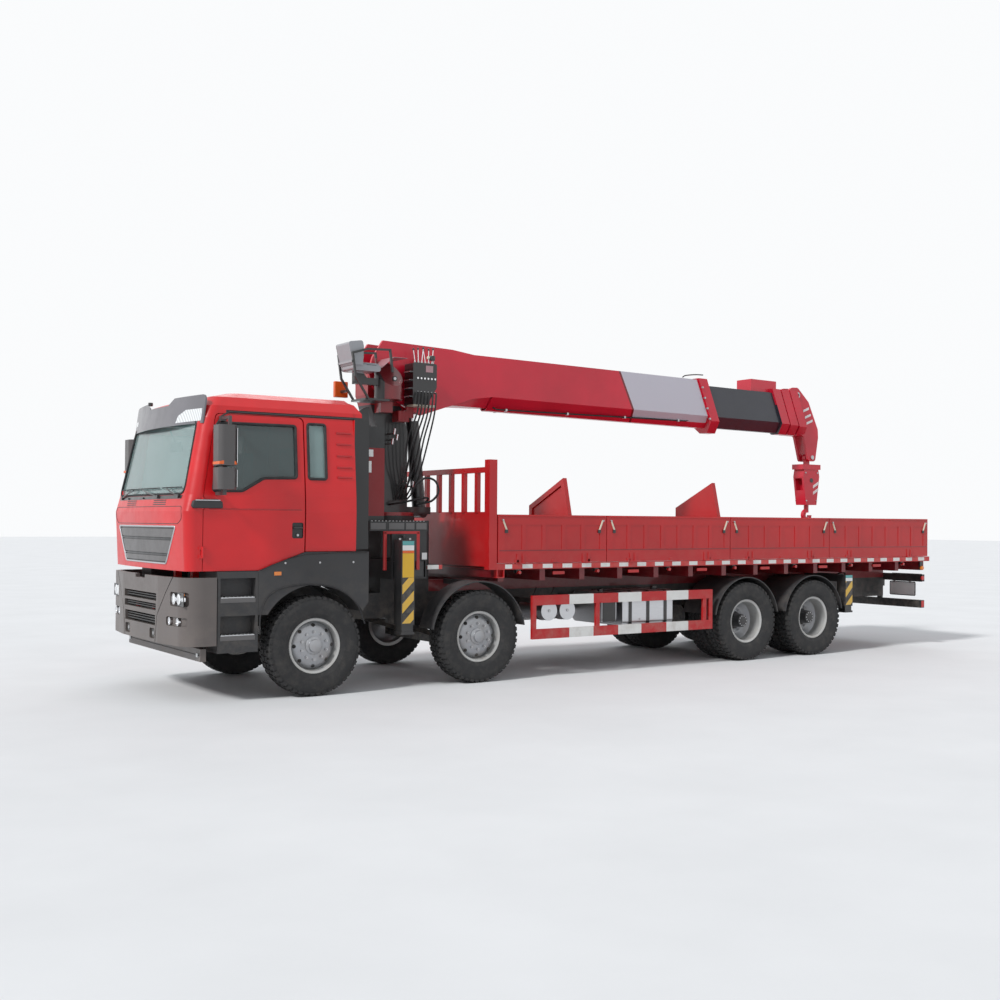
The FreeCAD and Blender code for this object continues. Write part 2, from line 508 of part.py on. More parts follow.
def build_cab():
    outer = cab_volume("cab_outer", 0)
    inner = cab_volume("cab_inner", "cab_wall")
    pane_out = cab_volume("pane_outer", "glass_set_in")
    pane_in = cab_volume("pane_inner", "(glass_set_in + glass_thick)")
    skin = cut("cab_skin", outer, [inner])
    pane = cut("pane_skin", pane_out, [pane_in])
    reach = ("cab_half - 260", "cab_half + 50")
    holes = [cut("door_hole", prism("door_hole_side", "side", door_outline(0, 0), *reach),
                 [within_sides("sill", "(cab_wall + door_gap)")]),
             prism("quarter_hole", "side", quarter_window(0), *reach)]
    holes += [mirrored(item.Name + "_twin", item) for item in list(holes)]
    screen = prism("screen_hole", "front", screen_outline(0), "cab_front - 600", "cab_front + 2 * front_bow")
    eye_rooms = [rod("eye_room_" + level, "z", "hinge_radius + 5", z + " - 30.2", z + " + 30.2", x="door_front_x", y="cab_half + 5")
                 for level, z in HINGE_LEVELS]
    eye_rooms += [mirrored(item.Name + "_twin", item) for item in list(eye_rooms)]
    grille = cut("grille_room", group("grille_bands", [grille_band("grille_band%d" % number, *band)
                                                       for number, band in enumerate(GRILLE_BANDS)]), [pane_out])
    presses = [block("rib%d" % number, ("cab_rear + 50", "cab_rear + 220"), ("cab_half - 150", "cab_half + 50"),
                     ("cab_roof - %d" % (drop + 9), "cab_roof - %d" % (drop - 9))) for number, drop in enumerate(RIB_DROPS)]
    presses.append(block("drip_seam", ("cab_rear - 50", "door_front_x - 280"), ("cab_half - 150", "cab_half + 50"),
                         ("cab_roof - 234", "cab_roof - 206")))
    pressed = cut("presses", group("press_set", presses), [within_sides("press_floor", "press_deep")])
    lip = common("roof_lip", [prism("lip_side", "side", [
        ("cab_rear + 45", "cab_roof - 230"), ("cab_rear + 45", "cab_roof - 8"), ("cab_rear - 50", "cab_roof - 60"),
        ("cab_rear - lip_long", "cab_roof - 160"), ("cab_rear - lip_long", "cab_roof - 225")], "-cab_half", "cab_half"),
        between_walls("lip_ends", "10", len(CAB_SECTIONS), "cab_rear - 2 * lip_long", "cab_rear + 100")])
    cover = block("rear_cover", ("cab_rear - cover_long", "cab_rear + 5"), ("cab_half - 225", "cab_half - 60"),
                  ("cab_mid + 20", "cab_roof - 228"))
    shell = cut("cab_shell_open", skin, holes + [screen, grille] + both_sides("presses", pressed) + eye_rooms)
    lugs = []
    for level, z in HINGE_LEVELS:
        for part, start, end in (("a", "%s + 30.3" % z, "%s + 60" % z), ("b", "%s - 60" % z, "%s - 30.3" % z)):
            lug = fuse("hinge_%s_%s" % (level, part), [
                rod("hinge_%s_%s_eye" % (level, part), "z", "hinge_radius", start, end, x="door_front_x", y="cab_half + 5"),
                block("hinge_%s_%s_leaf" % (level, part), ("door_front_x", "door_front_x + 40"), ("cab_half - 45", "cab_half + 5"),
                      (start, end))])
            lugs += both_sides("hinge_%s_%s" % (level, part), lug)
        pin = rod("hinge_pin_" + level, "z", "hinge_pin", z + " - 40", z + " + 40", x="door_front_x", y="cab_half + 5")
        lugs += both_sides("hinge_pin_" + level, pin)
    arm = fuse("tilt_arm", [
        rod("tilt_eye", "y", "55", "240", "310", x="tilt_x", z="tilt_z"),
        block("tilt_arm_level", ("5455", "tilt_x"), ("240", "310"), ("tilt_z - 35", "tilt_z + 35")),
        block("tilt_arm_post", ("5455", "5525"), ("240", "310"), ("tilt_z - 35", "cab_low + 10"))])
    arm = cut("tilt_arm_bored", arm, [rod("tilt_bore", "y", "tilt_pin + running_gap", "200", "350", x="tilt_x", z="tilt_z")])
    node("cab_shell", fuse("cab_shell_solid", [shell, lip] + both_sides("rear_cover", cover) + lugs + both_sides("tilt_arm_bored", arm)))
    windscreen = common("windscreen_pane", [pane, prism("screen_pane", "front", screen_outline("running_gap"), "cab_front - 600", "cab_front + 2 * front_bow")])
    quarter = common("quarter_pane", [pane, prism("quarter_cut", "side", quarter_window("running_gap"), *reach)])
    node("cab_glass", group("cab_panes", [windscreen] + both_sides("quarter_pane", quarter)))
    door_slab = cut("door_slab", common("door_side", [
        outer, prism("door_cut", "side", door_outline("door_gap", "door_rear_gap"), *reach)]), [within_sides("door_back", "cab_wall")])
    door_open = cut("door_open", door_slab, [prism("door_window_hole", "side", door_window(0), *reach)])
    handle = cut("handle_room", prism("handle_side", "side", [
        ("door_rear_x + 30", "cab_mid + 141", "20"), ("door_rear_x + 158", "cab_mid + 141", "20"), ("door_rear_x + 158", "cab_mid + 309", "20"),
        ("door_rear_x + 30", "cab_mid + 309", "20")], *reach), [pane_out])
    clear = [handle]
    sleeves = []
    for level, z in HINGE_LEVELS:
        clear.append(rod("hinge_room_" + level, "z", "hinge_radius + 5", z + " - 66", z + " + 66", x="door_front_x", y="cab_half + 5"))
        sleeve = fuse("sleeve_" + level, [
            rod("sleeve_eye_" + level, "z", "hinge_radius", z + " - 30", z + " + 30", x="door_front_x", y="cab_half + 5"),
            block("sleeve_leaf_" + level, ("door_front_x - 60", "door_front_x"), ("cab_half - 30", "cab_half + 5"), (z + " - 30", z + " + 30"))])
        sleeves.append(cut("sleeve_bored_" + level, sleeve, [
            rod("sleeve_bore_" + level, "z", "hinge_pin + running_gap", z + " - 50", z + " + 50", x="door_front_x", y="cab_half + 5")]))
    door = fuse("door_solid", [cut("door_cleared", door_open, clear)] + sleeves)
    node("door_left", door)
    node("door_right", mirrored("door_twin", door))
    door_pane = common("door_pane", [pane, prism("door_pane_cut", "side", door_window("running_gap"), *reach)])
    node("door_glass_left", door_pane)
    node("door_glass_right", mirrored("door_pane_twin", door_pane))
    return outer


def build_cab_interior():
    floor = "cab_mid + cab_wall"
    pieces = [block("tunnel", ("4300", "5450"), ("-420", "420"), (floor, floor + " + 190")),
              block("dash", ("5380", "5700"), ("-1100", "1100"), ("1700", "2080")),
              block("bunk", ("4100", "4500"), ("-1100", "1100"), (floor, floor + " + 330"))]
    for side, y in (("left", 760), ("right", -760)):
        pieces.append(block("seat_%s" % side, ("4560", "5060"), (str(y - 240), str(y + 240)), (floor, floor + " + 430")))
        pieces.append(block("backrest_%s" % side, ("4500", "4620"), (str(y - 240), str(y + 240)), (floor + " + 300", floor + " + 1080")))
    pieces.append(block("floor_pan", ("4080", "5450"), ("-1120", "1120"), (floor + " + 0.3", floor + " + 30")))
    pieces.append(block("dash_foot", ("5420", "5640"), ("-420", "420"), ("cab_low + cab_wall + 0.3", "1750")))
    wheel = rod("steering_wheel", "z", 225, "2110", "2140", x="5260", y="760")
    column = rod("steering_column", "z", 40, "1900", "2120", x="5400", y="760")
    pieces += [wheel, column]
    node("cab_interior", fuse("cab_inside", pieces))


def build_visor_and_mirrors(cab_outer):
    """Both meet the cab's skin face to face."""
    skins = []
    for name, inset in (("visor_out", "0"), ("visor_in", "visor_thick")):
        skins.append(loft(name, [bowed_section("%s_section%d" % (name, number), "cab_roof - %d" % drop, "cab_front - 500",
                                               "%s - %s" % (front, inset), "cab_half - 105 + 0.1 * (%s)" % inset, "10", "visor_bow")
                                 for number, (drop, front) in enumerate(((360, "cab_front - 205"), (30, "cab_front - 249")))]))
    sheet_part = common("visor_sheet", [cut("visor_skin", skins[0], [skins[1]]), prism("visor_face", "front", [
        ("105 - cab_half", "cab_roof - 350"), ("cab_half - 105", "cab_roof - 350"), ("cab_half - 105", "cab_roof - 50", "60"),
        ("450", "cab_roof - 50"), ("300", "cab_roof - 120"), ("-300", "cab_roof - 120"), ("-450", "cab_roof - 50"),
        ("105 - cab_half", "cab_roof - 50", "60")], "cab_front - 400", "cab_front + 100")])
    stays = [block("visor_stay%d" % number, ("cab_front - 370", "cab_front - %d" % reach), ("%d - 15" % y, "%d + 15" % y),
                   ("cab_roof - 300", "cab_roof - 270")) for number, (y, reach) in enumerate(((-800, 160), (0, 105), (800, 160)))]
    node("sun_visor", cut("visor_solid", fuse("visor_body", [sheet_part] + stays), [cab_outer]))
    plan = [("5520", "1320"), ("5650", "1320", "40"), ("5715", "1400", "60"), ("5715", "1590", "50"), ("5560", "1590"), ("5520", "1540")]
    pieces = [prism("mirror_high", "plan", plan, "2440", "2850"), prism("mirror_low", "plan", plan, "2200", "2420"),
              block("mirror_foot", ("5500", "5560"), ("1100", "1200"), ("2915", "2965")),
              block("mirror_arm_high", ("5525", "5555"), ("1130", "1420"), ("2925", "2955")),
              block("mirror_post", ("5525", "5555"), ("1385", "1420"), ("2840", "2955")),
              block("mirror_riser", ("5580", "5620"), ("1395", "1435"), ("2145", "2450")),
              block("mirror_arm_low", ("5580", "5620"), ("1150", "1435"), ("2145", "2180"))]
    mirror = cut("mirror_solid", fuse("mirror_body", pieces), [cab_outer])
    node("mirror_left", mirror)
    node("mirror_right", mirrored("mirror_twin", mirror))


def bumper_plan(name, inset, low, high):
    """The bumper seen from above, drawn in by an inset."""
    d = str(inset)
    near, far = "bumper_half - " + d, "-bumper_half + " + d
    return prism(name, "plan", [
        ("5600 - " + d, far), ("bumper_front - 75 - " + d, far, "210 - " + d), ("bumper_front - " + d, "-600"), ("bumper_front - " + d, "600"),
        ("bumper_front - 75 - " + d, near, "210 - " + d), ("5600 - " + d, near)], low, high)


# Pockets in the bumper's face: name, inner and outer side, bottom and top
BUMPER_POCKETS = (("headlamp", 890, 1195, 1005, 1150), ("fog_lamps", 800, 1185, 800, 892), ("low_recess", 340, 510, 635, 742))
# Openings right through the bumper: half width, bottom and top
BUMPER_OPENINGS = ((550, 1036, 1115), (540, 935, 1006), (520, 775, 885), (160, 1262, 1310))
# The seam between the middle and a corner of the bumper, from top to bottom
BUMPER_SEAM = ((950, 1310), (770, 1120), (575, 885), (520, 590))


def build_front():
    floor = bumper_plan("pocket_floor", "lamp_deep", "bumper_low - 10", "bumper_high + 10")
    reach = ("bumper_front - 420", "bumper_front + 10")
    pockets = [prism(name, "front", [(str(y), str(z), "25") for y, z in ((near, low), (far, low), (far, high), (near, high))], *reach)
               for name, near, far, low, high in BUMPER_POCKETS]
    seam = [(str(y - 7), str(z)) for y, z in BUMPER_SEAM] + [(str(y + 7), str(z)) for y, z in BUMPER_SEAM[::-1]]
    pockets.append(prism("bumper_seam", "front", seam, *reach))
    carved = cut("bumper_pockets", group("pocket_set", pockets), [floor])
    openings = [block("bumper_opening%d" % number, reach, (str(-half), str(half)), (str(low), str(high)))
                for number, (half, low, high) in enumerate(BUMPER_OPENINGS)]
    shell = cut("bumper_shell", bumper_plan("bumper_outer", "0", "bumper_low", "bumper_high"),
                [bumper_plan("bumper_inner", "bumper_wall", "bumper_low - 20", "bumper_high + 60")] + both_sides("bumper_pockets", carved)
                + openings)
    brackets = both_sides("bumper_bracket", block("bumper_bracket", ("frame_front", "bumper_front - 30"), ("345", "430"), ("885", "935")))
    bar = block("front_bar", ("5690", "5750"), ("-1190", "1190"), ("440", "570"))
    hangers = both_sides("front_bar_hanger", block("front_bar_hanger", ("frame_front", "5720"), ("360", "430"), ("440", "900")))
    node("bumper", fuse("bumper_solid", [shell, bar] + brackets + hangers))


def build_mudguards():
    under_gap = "6"
    guard = cut("front_guard", prism("front_guard_body", "side", [
        ("arch_start_x + 10", "900"), ("arch_start_x + 10", "cab_low - " + under_gap), ("door_rear_x + 10", "cab_mid - " + under_gap),
        ("3860", "cab_mid - " + under_gap), ("3860", "1000"), ("3930", "900")], "900", "1240"),
        [rod("arch_room", "y", "660", "800", "1300", x="axle_one_x", z="tyre_radius")])
    back = block("guard_back_bracket", ("3870", "3930"), ("rail_outer_y", "905"), ("950", "1020"))
    pieces = both_sides("front_guard_set", fuse("front_guard_set", [guard, back]))
    steps = cut("step_box", block("step_box_body", ("arch_start_x + 12", "5590"), ("900", "1240"), ("520", "cab_low - %s" % under_gap)), [
        block("step_low", ("arch_start_x + 41", "5560"), ("1120", "1300"), ("690", "900")),
        block("step_high", ("arch_start_x + 41", "5560"), ("1120", "1300"), ("1080", "1290"))])
    bracket = block("guard_bracket", ("5500", "5580"), ("rail_outer_y", "905"), ("900", "980"))
    pieces += both_sides("step_box_set", fuse("step_box_set", [steps, bracket]))
    for name, x, inner_y, radius in (("two", "axle_two_x", "930", "640"), ("three", "axle_three_x", "590", "600"), ("four", "axle_four_x", "590", "600")):
        ring = cut("guard_ring_" + name, rod("guard_out_" + name, "y", radius + " + 12", inner_y, "1240", x=x, z="tyre_radius"),
                   [rod("guard_in_" + name, "y", radius, "500", "1300", x=x, z="tyre_radius"),
                    block("guard_cut_" + name, (x + " - 800", x + " + 800"), ("500", "1300"), ("-200", "tyre_radius + 110"))])
        arm = block("guard_arm_" + name, (x + " - 20", x + " + 20"), ("rail_outer_y", inner_y + " + 40"),
                    ("tyre_radius + 590", "tyre_radius + %s + 12" % radius))
        pieces += both_sides("guard_" + name, fuse("guard_" + name, [ring, arm]))
    node("mudguards", group("mudguard_set", pieces))


# Tanks and guards under the bed
def build_side_equipment():
    pieces = []
    for name, x, half, y, z in (("fuel", "-300", "430", ("470", "1120"), ("560", "1010")), ("fluid", "320", "120", ("470", "1080"), ("600", "1000"))):
        low, high = x + " - " + half, x + " + " + half
        tank = prism("tank_" + name, "front", [(y[0], z[0], "60"), (y[1], z[0], "60"), (y[1], z[1], "60"), (y[0], z[1], "60")], low, high)
        strap = block("tank_strap_" + name, (x + " - 60", x + " + 60"), ("rail_outer_y", "500"), ("750", "950"))
        pieces += both_sides("tank_set_" + name, fuse("tank_set_" + name, [tank, strap]))
    for number, x in enumerate(("1320", "1040")):
        air = fuse("air_tank_set%d" % number, [
            rod("air_tank%d" % number, "y", 120, "480", "1150", x=x, z="800"),
            block("air_tank_arm%d" % number, (x + " - 30", x + " + 30"), ("rail_outer_y", "490"), ("760", "900"))])
        pieces += both_sides("air_tank_set%d" % number, air)
    node("side_equipment", group("equipment_set", pieces))


def build_guards():
    pieces = []
    rails = [block("guard_low", ("-1340", "1640"), ("1205", "1245"), ("470", "590")),
             block("guard_high", ("-1340", "1640"), ("1205", "1245"), ("880", "1000"))]
    rails += [block("guard_post%d" % number, (x, x + " + 60"), ("1206", "1244"), ("480", "990"))
              for number, x in enumerate(("1580", "600", "-1230", "-1340"))]
    rails += [block("guard_arm%d" % number, (x, x + " + 50"), ("rail_outer_y", "1210"), ("900", "960"))
              for number, x in enumerate(("1500", "600", "-1230"))]
    pieces += both_sides("side_guard", fuse("side_guard", rails))
    rear = fuse("rear_guard", [
        block("rear_bar", ("-5930", "-5850"), ("-1200", "1200"), ("590", "710")),
        block("rear_arm_left", ("-5900", "-5860"), ("345", "425"), ("600", "rail_top - rail_tall")),
        block("rear_arm_right", ("-5900", "-5860"), ("-425", "-345"), ("600", "rail_top - rail_tall")),
        block("light_bar", ("-5960", "frame_rear"), ("-1180", "1180"), ("1000", "1110")),
        block("light_arm_left", ("-5940", "frame_rear"), ("345", "430"), ("900", "1010")),
        block("light_arm_right", ("-5940", "frame_rear"), ("-430", "-345"), ("900", "1010"))])
    pieces.append(rear)
    node("underrun_guards", group("underrun_set", pieces))


# Bed
# Where one side board ends and the next begins, from the front, and the hinges along a board
BOARD_JOINTS = (2160, 510, -1650, -3650, -5930)
HINGE_SHARES = (0.2, 0.8)
GATE_SPOTS = (-900, -300, 300, 900)
# Where the stop plates stand across the floor
STOP_SPOTS = (480, -2220)


def side_spots():
    return ["%d" % (start + (end - start) * share) for start, end in zip(BOARD_JOINTS, BOARD_JOINTS[1:]) for share in HINGE_SHARES]


def build_bed():
    pieces = [block("floor", ("bed_rear", "bed_front"), ("-bed_half", "bed_half"), ("floor_top - floor_thick", "floor_top"))]
    pieces += both_sides("edge_rail", block("edge_rail", ("bed_rear", "bed_front"), ("bed_half - 60", "bed_half"),
                                            ("floor_top - edge_tall", "floor_top - 1")))
    pieces.append(block("end_rail", ("bed_rear", "bed_rear + 60"), ("-bed_half", "bed_half"), ("floor_top - edge_tall", "floor_top - 1")))
    pieces += both_sides("sub_rail", block("sub_rail", ("frame_rear", "slew_x - 340"), ("rail_outer_y - rail_flange", "rail_outer_y"),
                                           ("rail_top", "sub_rail_top")))
    tube = block("front_tube", ("bed_front - 110", "bed_front"), ("-bed_half", "bed_half"), ("floor_top - 170", "floor_top - 60"))
    tube_ends = both_sides("front_tube_end", block("front_tube_end", ("bed_front - 98", "bed_front - 12"), ("bed_half - 60", "bed_half + 1"),
                                                   ("floor_top - 158", "floor_top - 74")))
    pieces.append(tube)
    count = 14
    for number in range(count):
        x = "bed_rear + 60 + %d * (bed_front - bed_rear - 200) / %d" % (number, count - 1)
        pieces.append(block("bearer%d" % number, (x, x + " + bearer_long"), ("-1190", "1190"), ("sub_rail_top", "floor_top - 20")))
    y, z = "bed_half + board_proud + eye_radius", "floor_top + eye_rise"
    eyes = []
    for number, x in enumerate(side_spots()):
        span = (x + " - eye_long / 2", x + " + eye_long / 2")
        eyes += [rod("eye%d" % number, "x", "eye_radius", *span, y=y, z=z),
                 rod("eye_pin%d" % number, "x", "eye_pin", x + " - 1.5 * eye_long", x + " + 1.5 * eye_long", y=y, z=z),
                 block("eye_arm%d" % number, span, ("bed_half - 10", y), (z + " - eye_radius - 6", z))]
    pieces += both_sides("eyes", fuse("eyes", eyes))
    x = "bed_rear - board_proud - eye_radius"
    for number, spot in enumerate(GATE_SPOTS):
        span = ("%d - eye_long / 2" % spot, "%d + eye_long / 2" % spot)
        pieces += [rod("gate_eye%d" % number, "y", "eye_radius", *span, x=x, z=z),
                   rod("gate_pin%d" % number, "y", "eye_pin", "%d - 1.5 * eye_long" % spot, "%d + 1.5 * eye_long" % spot, x=x, z=z),
                   block("gate_arm%d" % number, (x, "bed_rear + 10"), span, (z + " - eye_radius - 6", z))]
    grooves = [block("groove%d" % number, ("%d - 90" % x, "%d + 90" % x), ("-bed_half - 1", "bed_half + 1"),
                     ("floor_top - groove_deep", "floor_top + 1")) for number, x in enumerate(STOP_SPOTS)]
    grooves += tube_ends
    node("bed_floor", cut("bed_grooved", fuse("bed_joined", pieces), grooves))
    posts = both_sides("head_post", block("head_post", ("bed_front + 0.3", "bed_front + 110"), ("1150", "bed_half"), ("floor_top - edge_tall", "2630")))
    rack = [block("head_rail", ("bed_front + 20", "bed_front + 80"), ("-1151", "1151"), ("2480", "2545")),
            block("head_plate", ("bed_front + 20", "bed_front + 60"), ("-1151", "1151"), ("floor_top - 40", "2010"))]
    rack += [block("head_bar%d" % number, ("bed_front + 25", "bed_front + 75"), ("%d - 30" % y, "%d + 30" % y), ("2000", "2490"))
             for number, y in enumerate((-900, -600, -300, 0, 300, 600, 900))]
    node("headboard", fuse("headboard_solid", posts + rack))
    plates = []
    for number, (x, side) in enumerate(zip(STOP_SPOTS, (1, -1))):
        face = cut("stop_face%d" % number, prism("stop_panel%d" % number, "front", [
            ("-450", "floor_top + 20"), ("450", "floor_top + 20"), ("450", "1990"), ("330", "2480"), ("-450", "2120")],
            str(x - 30), str(x + 30)), [prism("stop_room%d" % number, "front", [
                ("-385", "floor_top + 90"), ("385", "floor_top + 90"), ("385", "1975"), ("285", "2385"), ("-385", "2078")],
                str(x + 8 if side > 0 else x - 31), str(x + 31 if side > 0 else x - 8))])
        plates.append(fuse("stop_plate%d" % number, [
            face,
            block("stop_foot%d" % number, (str(x - 80), str(x + 80)), ("-430", "430"),
                  ("floor_top - groove_deep + running_gap", "floor_top + 30"))]))
    node("stop_plates", group("stop_plate_set", plates))


def build_boards():
    low = "floor_top + board_gap"
    y, z = "bed_half + board_proud + eye_radius", "floor_top + eye_rise"
    panels = []
    presses = []
    for number, (start, end) in enumerate(zip(BOARD_JOINTS, BOARD_JOINTS[1:])):
        pieces = [block("side_board%d" % number, ("%d + 5" % end, "%d - 5" % start),
                        ("bed_half - board_thick", "bed_half + board_proud"), (low, "board_top"))]
        for x in side_spots()[2 * number:2 * number + 2]:
            for part, near, far in (("a", "-1.5", "-0.5"), ("b", "0.5", "1.5")):
                span = ("%s + %s * eye_long + 1" % (x, near), "%s + %s * eye_long - 1" % (x, far))
                pieces += [rod("strap_eye%d%s" % (number, part), "x", "eye_radius", *span, y=y, z=z),
                           block("strap%d%s" % (number, part), span, ("bed_half + board_proud - 1", y), (z, z + " + strap_tall"))]
        panels.append(fuse("board%d" % number, pieces))
        count = (start - end) // 300
        pitch = (start - end - 160) / count
        presses += [block("press%d_%d" % (number, spot), ("%d" % (end + 110 + pitch * spot), "%d" % (end + 50 + pitch * (spot + 1))),
                          ("bed_half + board_proud - press_deep", "bed_half + board_proud + 1"), ("floor_top + 165", "board_top - 120"))
                    for spot in range(count)]
    left = cut("boards_bored", group("boards", panels), [
        rod("strap_bore", "x", "eye_pin + running_gap", "bed_rear", "bed_front", y=y, z=z), group("press_row", presses)])
    node("drop_sides_left", left)
    node("drop_sides_right", mirrored("boards_twin", left))
    x = "bed_rear - board_proud - eye_radius"
    pieces = [block("tailgate_board", ("bed_rear - board_proud", "bed_rear - board_proud + board_thick"), ("-1205", "1205"), (low, "board_top"))]
    for spot in GATE_SPOTS:
        for part, near, far in (("a", "-1.5", "-0.5"), ("b", "0.5", "1.5")):
            span = ("%d + %s * eye_long + 1" % (spot, near), "%d + %s * eye_long - 1" % (spot, far))
            pieces += [rod("gate_strap_eye%s" % part, "y", "eye_radius", *span, x=x, z=z),
                       block("gate_strap%s" % part, (x, "bed_rear - board_proud + 1"), span, (z, z + " + strap_tall"))]
    node("tailgate", cut("tailgate_bored", fuse("tailgate_solid", pieces), [
        rod("gate_bore", "y", "eye_pin + running_gap", "-bed_half", "bed_half", x=x, z=z)]))


# Crane
def build_crane_base():
    pieces = [block("pedestal", ("slew_x - 340", "slew_x + 320"), ("-430", "430"), ("rail_top", "1900"))]
    channels = []
    for name, x in (("front", "beam_front_x"), ("back", "beam_back_x")):
        half = "beam_wide / 2 + channel_wall"
        pieces.append(block("channel_" + name, ("%s - (%s)" % (x, half), "%s + %s" % (x, half)), ("-1060", "1060"),
                            ("beam_low - channel_wall", "beam_low + beam_tall + channel_wall")))
        channels.append(block("channel_room_" + name, (x + " - beam_wide / 2 - 5", x + " + beam_wide / 2 + 5"), ("-1200", "1200"),
                              ("beam_low - running_gap", "beam_low + beam_tall + 5")))
    ring = rod("slew_ring", "z", "330", "1899", "ring_top - 1", x="slew_x", y="0")
    pieces.append(block("deck", ("slew_x + 45", "deck_front"), ("-deck_half", "deck_half"), ("deck_low", "deck_top")))
    pieces += both_sides("box_end", block("box_end", ("beam_back_x - 95", "beam_front_x + 100"), ("deck_half - 40", "deck_half"),
                                          ("beam_low - channel_wall", "deck_low + 10")))
    pieces.append(block("oil_tank", ("deck_front - 215", "deck_front"), ("560", "1000"), ("deck_top - 10", "oil_tank_top")))
    node("crane_base", cut("crane_base_solid", fuse("crane_base_body", pieces + [ring]), channels))


def build_outrigger(side, x, sign):
    """A sliding beam with its leg's case, and the leg inside it."""
    s = "" if sign > 0 else "-"

    def span(a, b):
        return (a, b) if sign > 0 else ("-(%s)" % b, "-(%s)" % a)
    outer = "leg_outer_y"
    case = cut("case_" + side, block("case_body_" + side, (x + " - leg_size / 2", x + " + leg_size / 2"),
                                     span(outer + " - leg_size", outer), ("leg_low", "leg_top")),
               [block("case_room_" + side, (x + " - leg_size / 2 + leg_wall", x + " + leg_size / 2 - leg_wall"),
                      span(outer + " - leg_size + leg_wall", outer + " - leg_wall"), ("leg_low - 1", "leg_top - leg_wall"))])
    arm = block("arm_" + side, (x + " - beam_wide / 2", x + " + beam_wide / 2"), span("-1040", outer + " - leg_size + 1"),
                ("beam_low", "beam_low + beam_tall"))
    node("outrigger_beam_" + side, fuse("outrigger_beam_solid_" + side, [case, arm]))
    gap = "leg_wall + running_gap"
    leg = block("leg_" + side, ("%s - leg_size / 2 + %s" % (x, gap), "%s + leg_size / 2 - (%s)" % (x, gap)),
                span("%s - leg_size + %s" % (outer, gap), "%s - (%s)" % (outer, gap)), ("foot_low + 20", "leg_top - 120"))
    foot = block("foot_" + side, (x + " - 85", x + " + 85"), span(outer + " - leg_size", outer), ("foot_low", "foot_low + 30"))
    node("outrigger_leg_" + side, fuse("outrigger_leg_solid_" + side, [leg, foot]))


def build_rear_outriggers():
    x = "rear_leg_x"
    size_text = "160"
    beam = block("rear_beam", (x + " - 70", x + " + 70"), ("-1086", "1086"), ("rail_top", "1150"))
    cases = []
    case = cut("rear_case", block("rear_case_body", (x + " - 80", x + " + 80"), ("1080", "1240"), ("680", "rear_leg_top")),
               [block("rear_case_room", (x + " - 68", x + " + 68"), ("1092", "1228"), ("679", "rear_leg_top - 12"))])
    cases = both_sides("rear_case", case)
    notch = both_sides("rear_notch", block("rear_notch", (x + " - 90", x + " + 90"), ("rail_outer_y - rail_flange", "rail_outer_y"),
                                           ("rail_top", "sub_rail_top")))
    node("rear_outrigger_box", cut("rear_outrigger_solid", fuse("rear_outrigger_body", [beam] + cases), notch))
    leg = fuse("rear_leg_solid", [
        block("rear_leg", (x + " - 67.7", x + " + 67.7"), ("1092.3", "1227.7"), ("600", "rear_leg_top - 60")),
        block("rear_foot", (x + " - 80", x + " + 80"), ("1080", "1240"), ("585", "612"))])
    node("rear_leg_left", leg)
    node("rear_leg_right", mirrored("rear_leg_twin", leg))


def tilted(label, shape):
    """Turn a boom piece about the foot pin to the boom's angle at rest."""
    moved = doc.addObject("Part::Compound", label + "_tilted")
    moved.Links = [shape]
    moved.Placement.Rotation = FreeCAD.Rotation(FreeCAD.Vector(0, 1, 0), 1)
    moved.setExpression("Placement.Rotation.Angle", bound("-boom_tilt"))
    moved.setExpression("Placement.Base.x", bound("pivot_x - pivot_x * cos(boom_tilt * 1deg) + pivot_z * sin(boom_tilt * 1deg)"))
    moved.setExpression("Placement.Base.z", bound("pivot_z - pivot_z * cos(boom_tilt * 1deg) - pivot_x * sin(boom_tilt * 1deg)"))
    return node(label, moved)


def section(name, half, low, top, chamfer, start, end, slope_top):
    """A length of boom box with its lower corners cut off and both ends leaning."""
    box = prism(name + "_box", "front", [
        ("-" + half, low + " + " + chamfer), ("-%s + %s" % (half, chamfer), low), ("%s - %s" % (half, chamfer), low),
        (half, low + " + " + chamfer), (half, top), ("-" + half, top)], end + " - 600", start)
    lean = prism(name + "_lean", "side", [
        (start, low), (start, top), ("%s - (%s - (%s)) * boom_slope" % (end, slope_top, top), top),
        ("%s - (%s - (%s)) * boom_slope" % (end, slope_top, low), low)], "-" + half, half)
    return common(name, [box, lean])


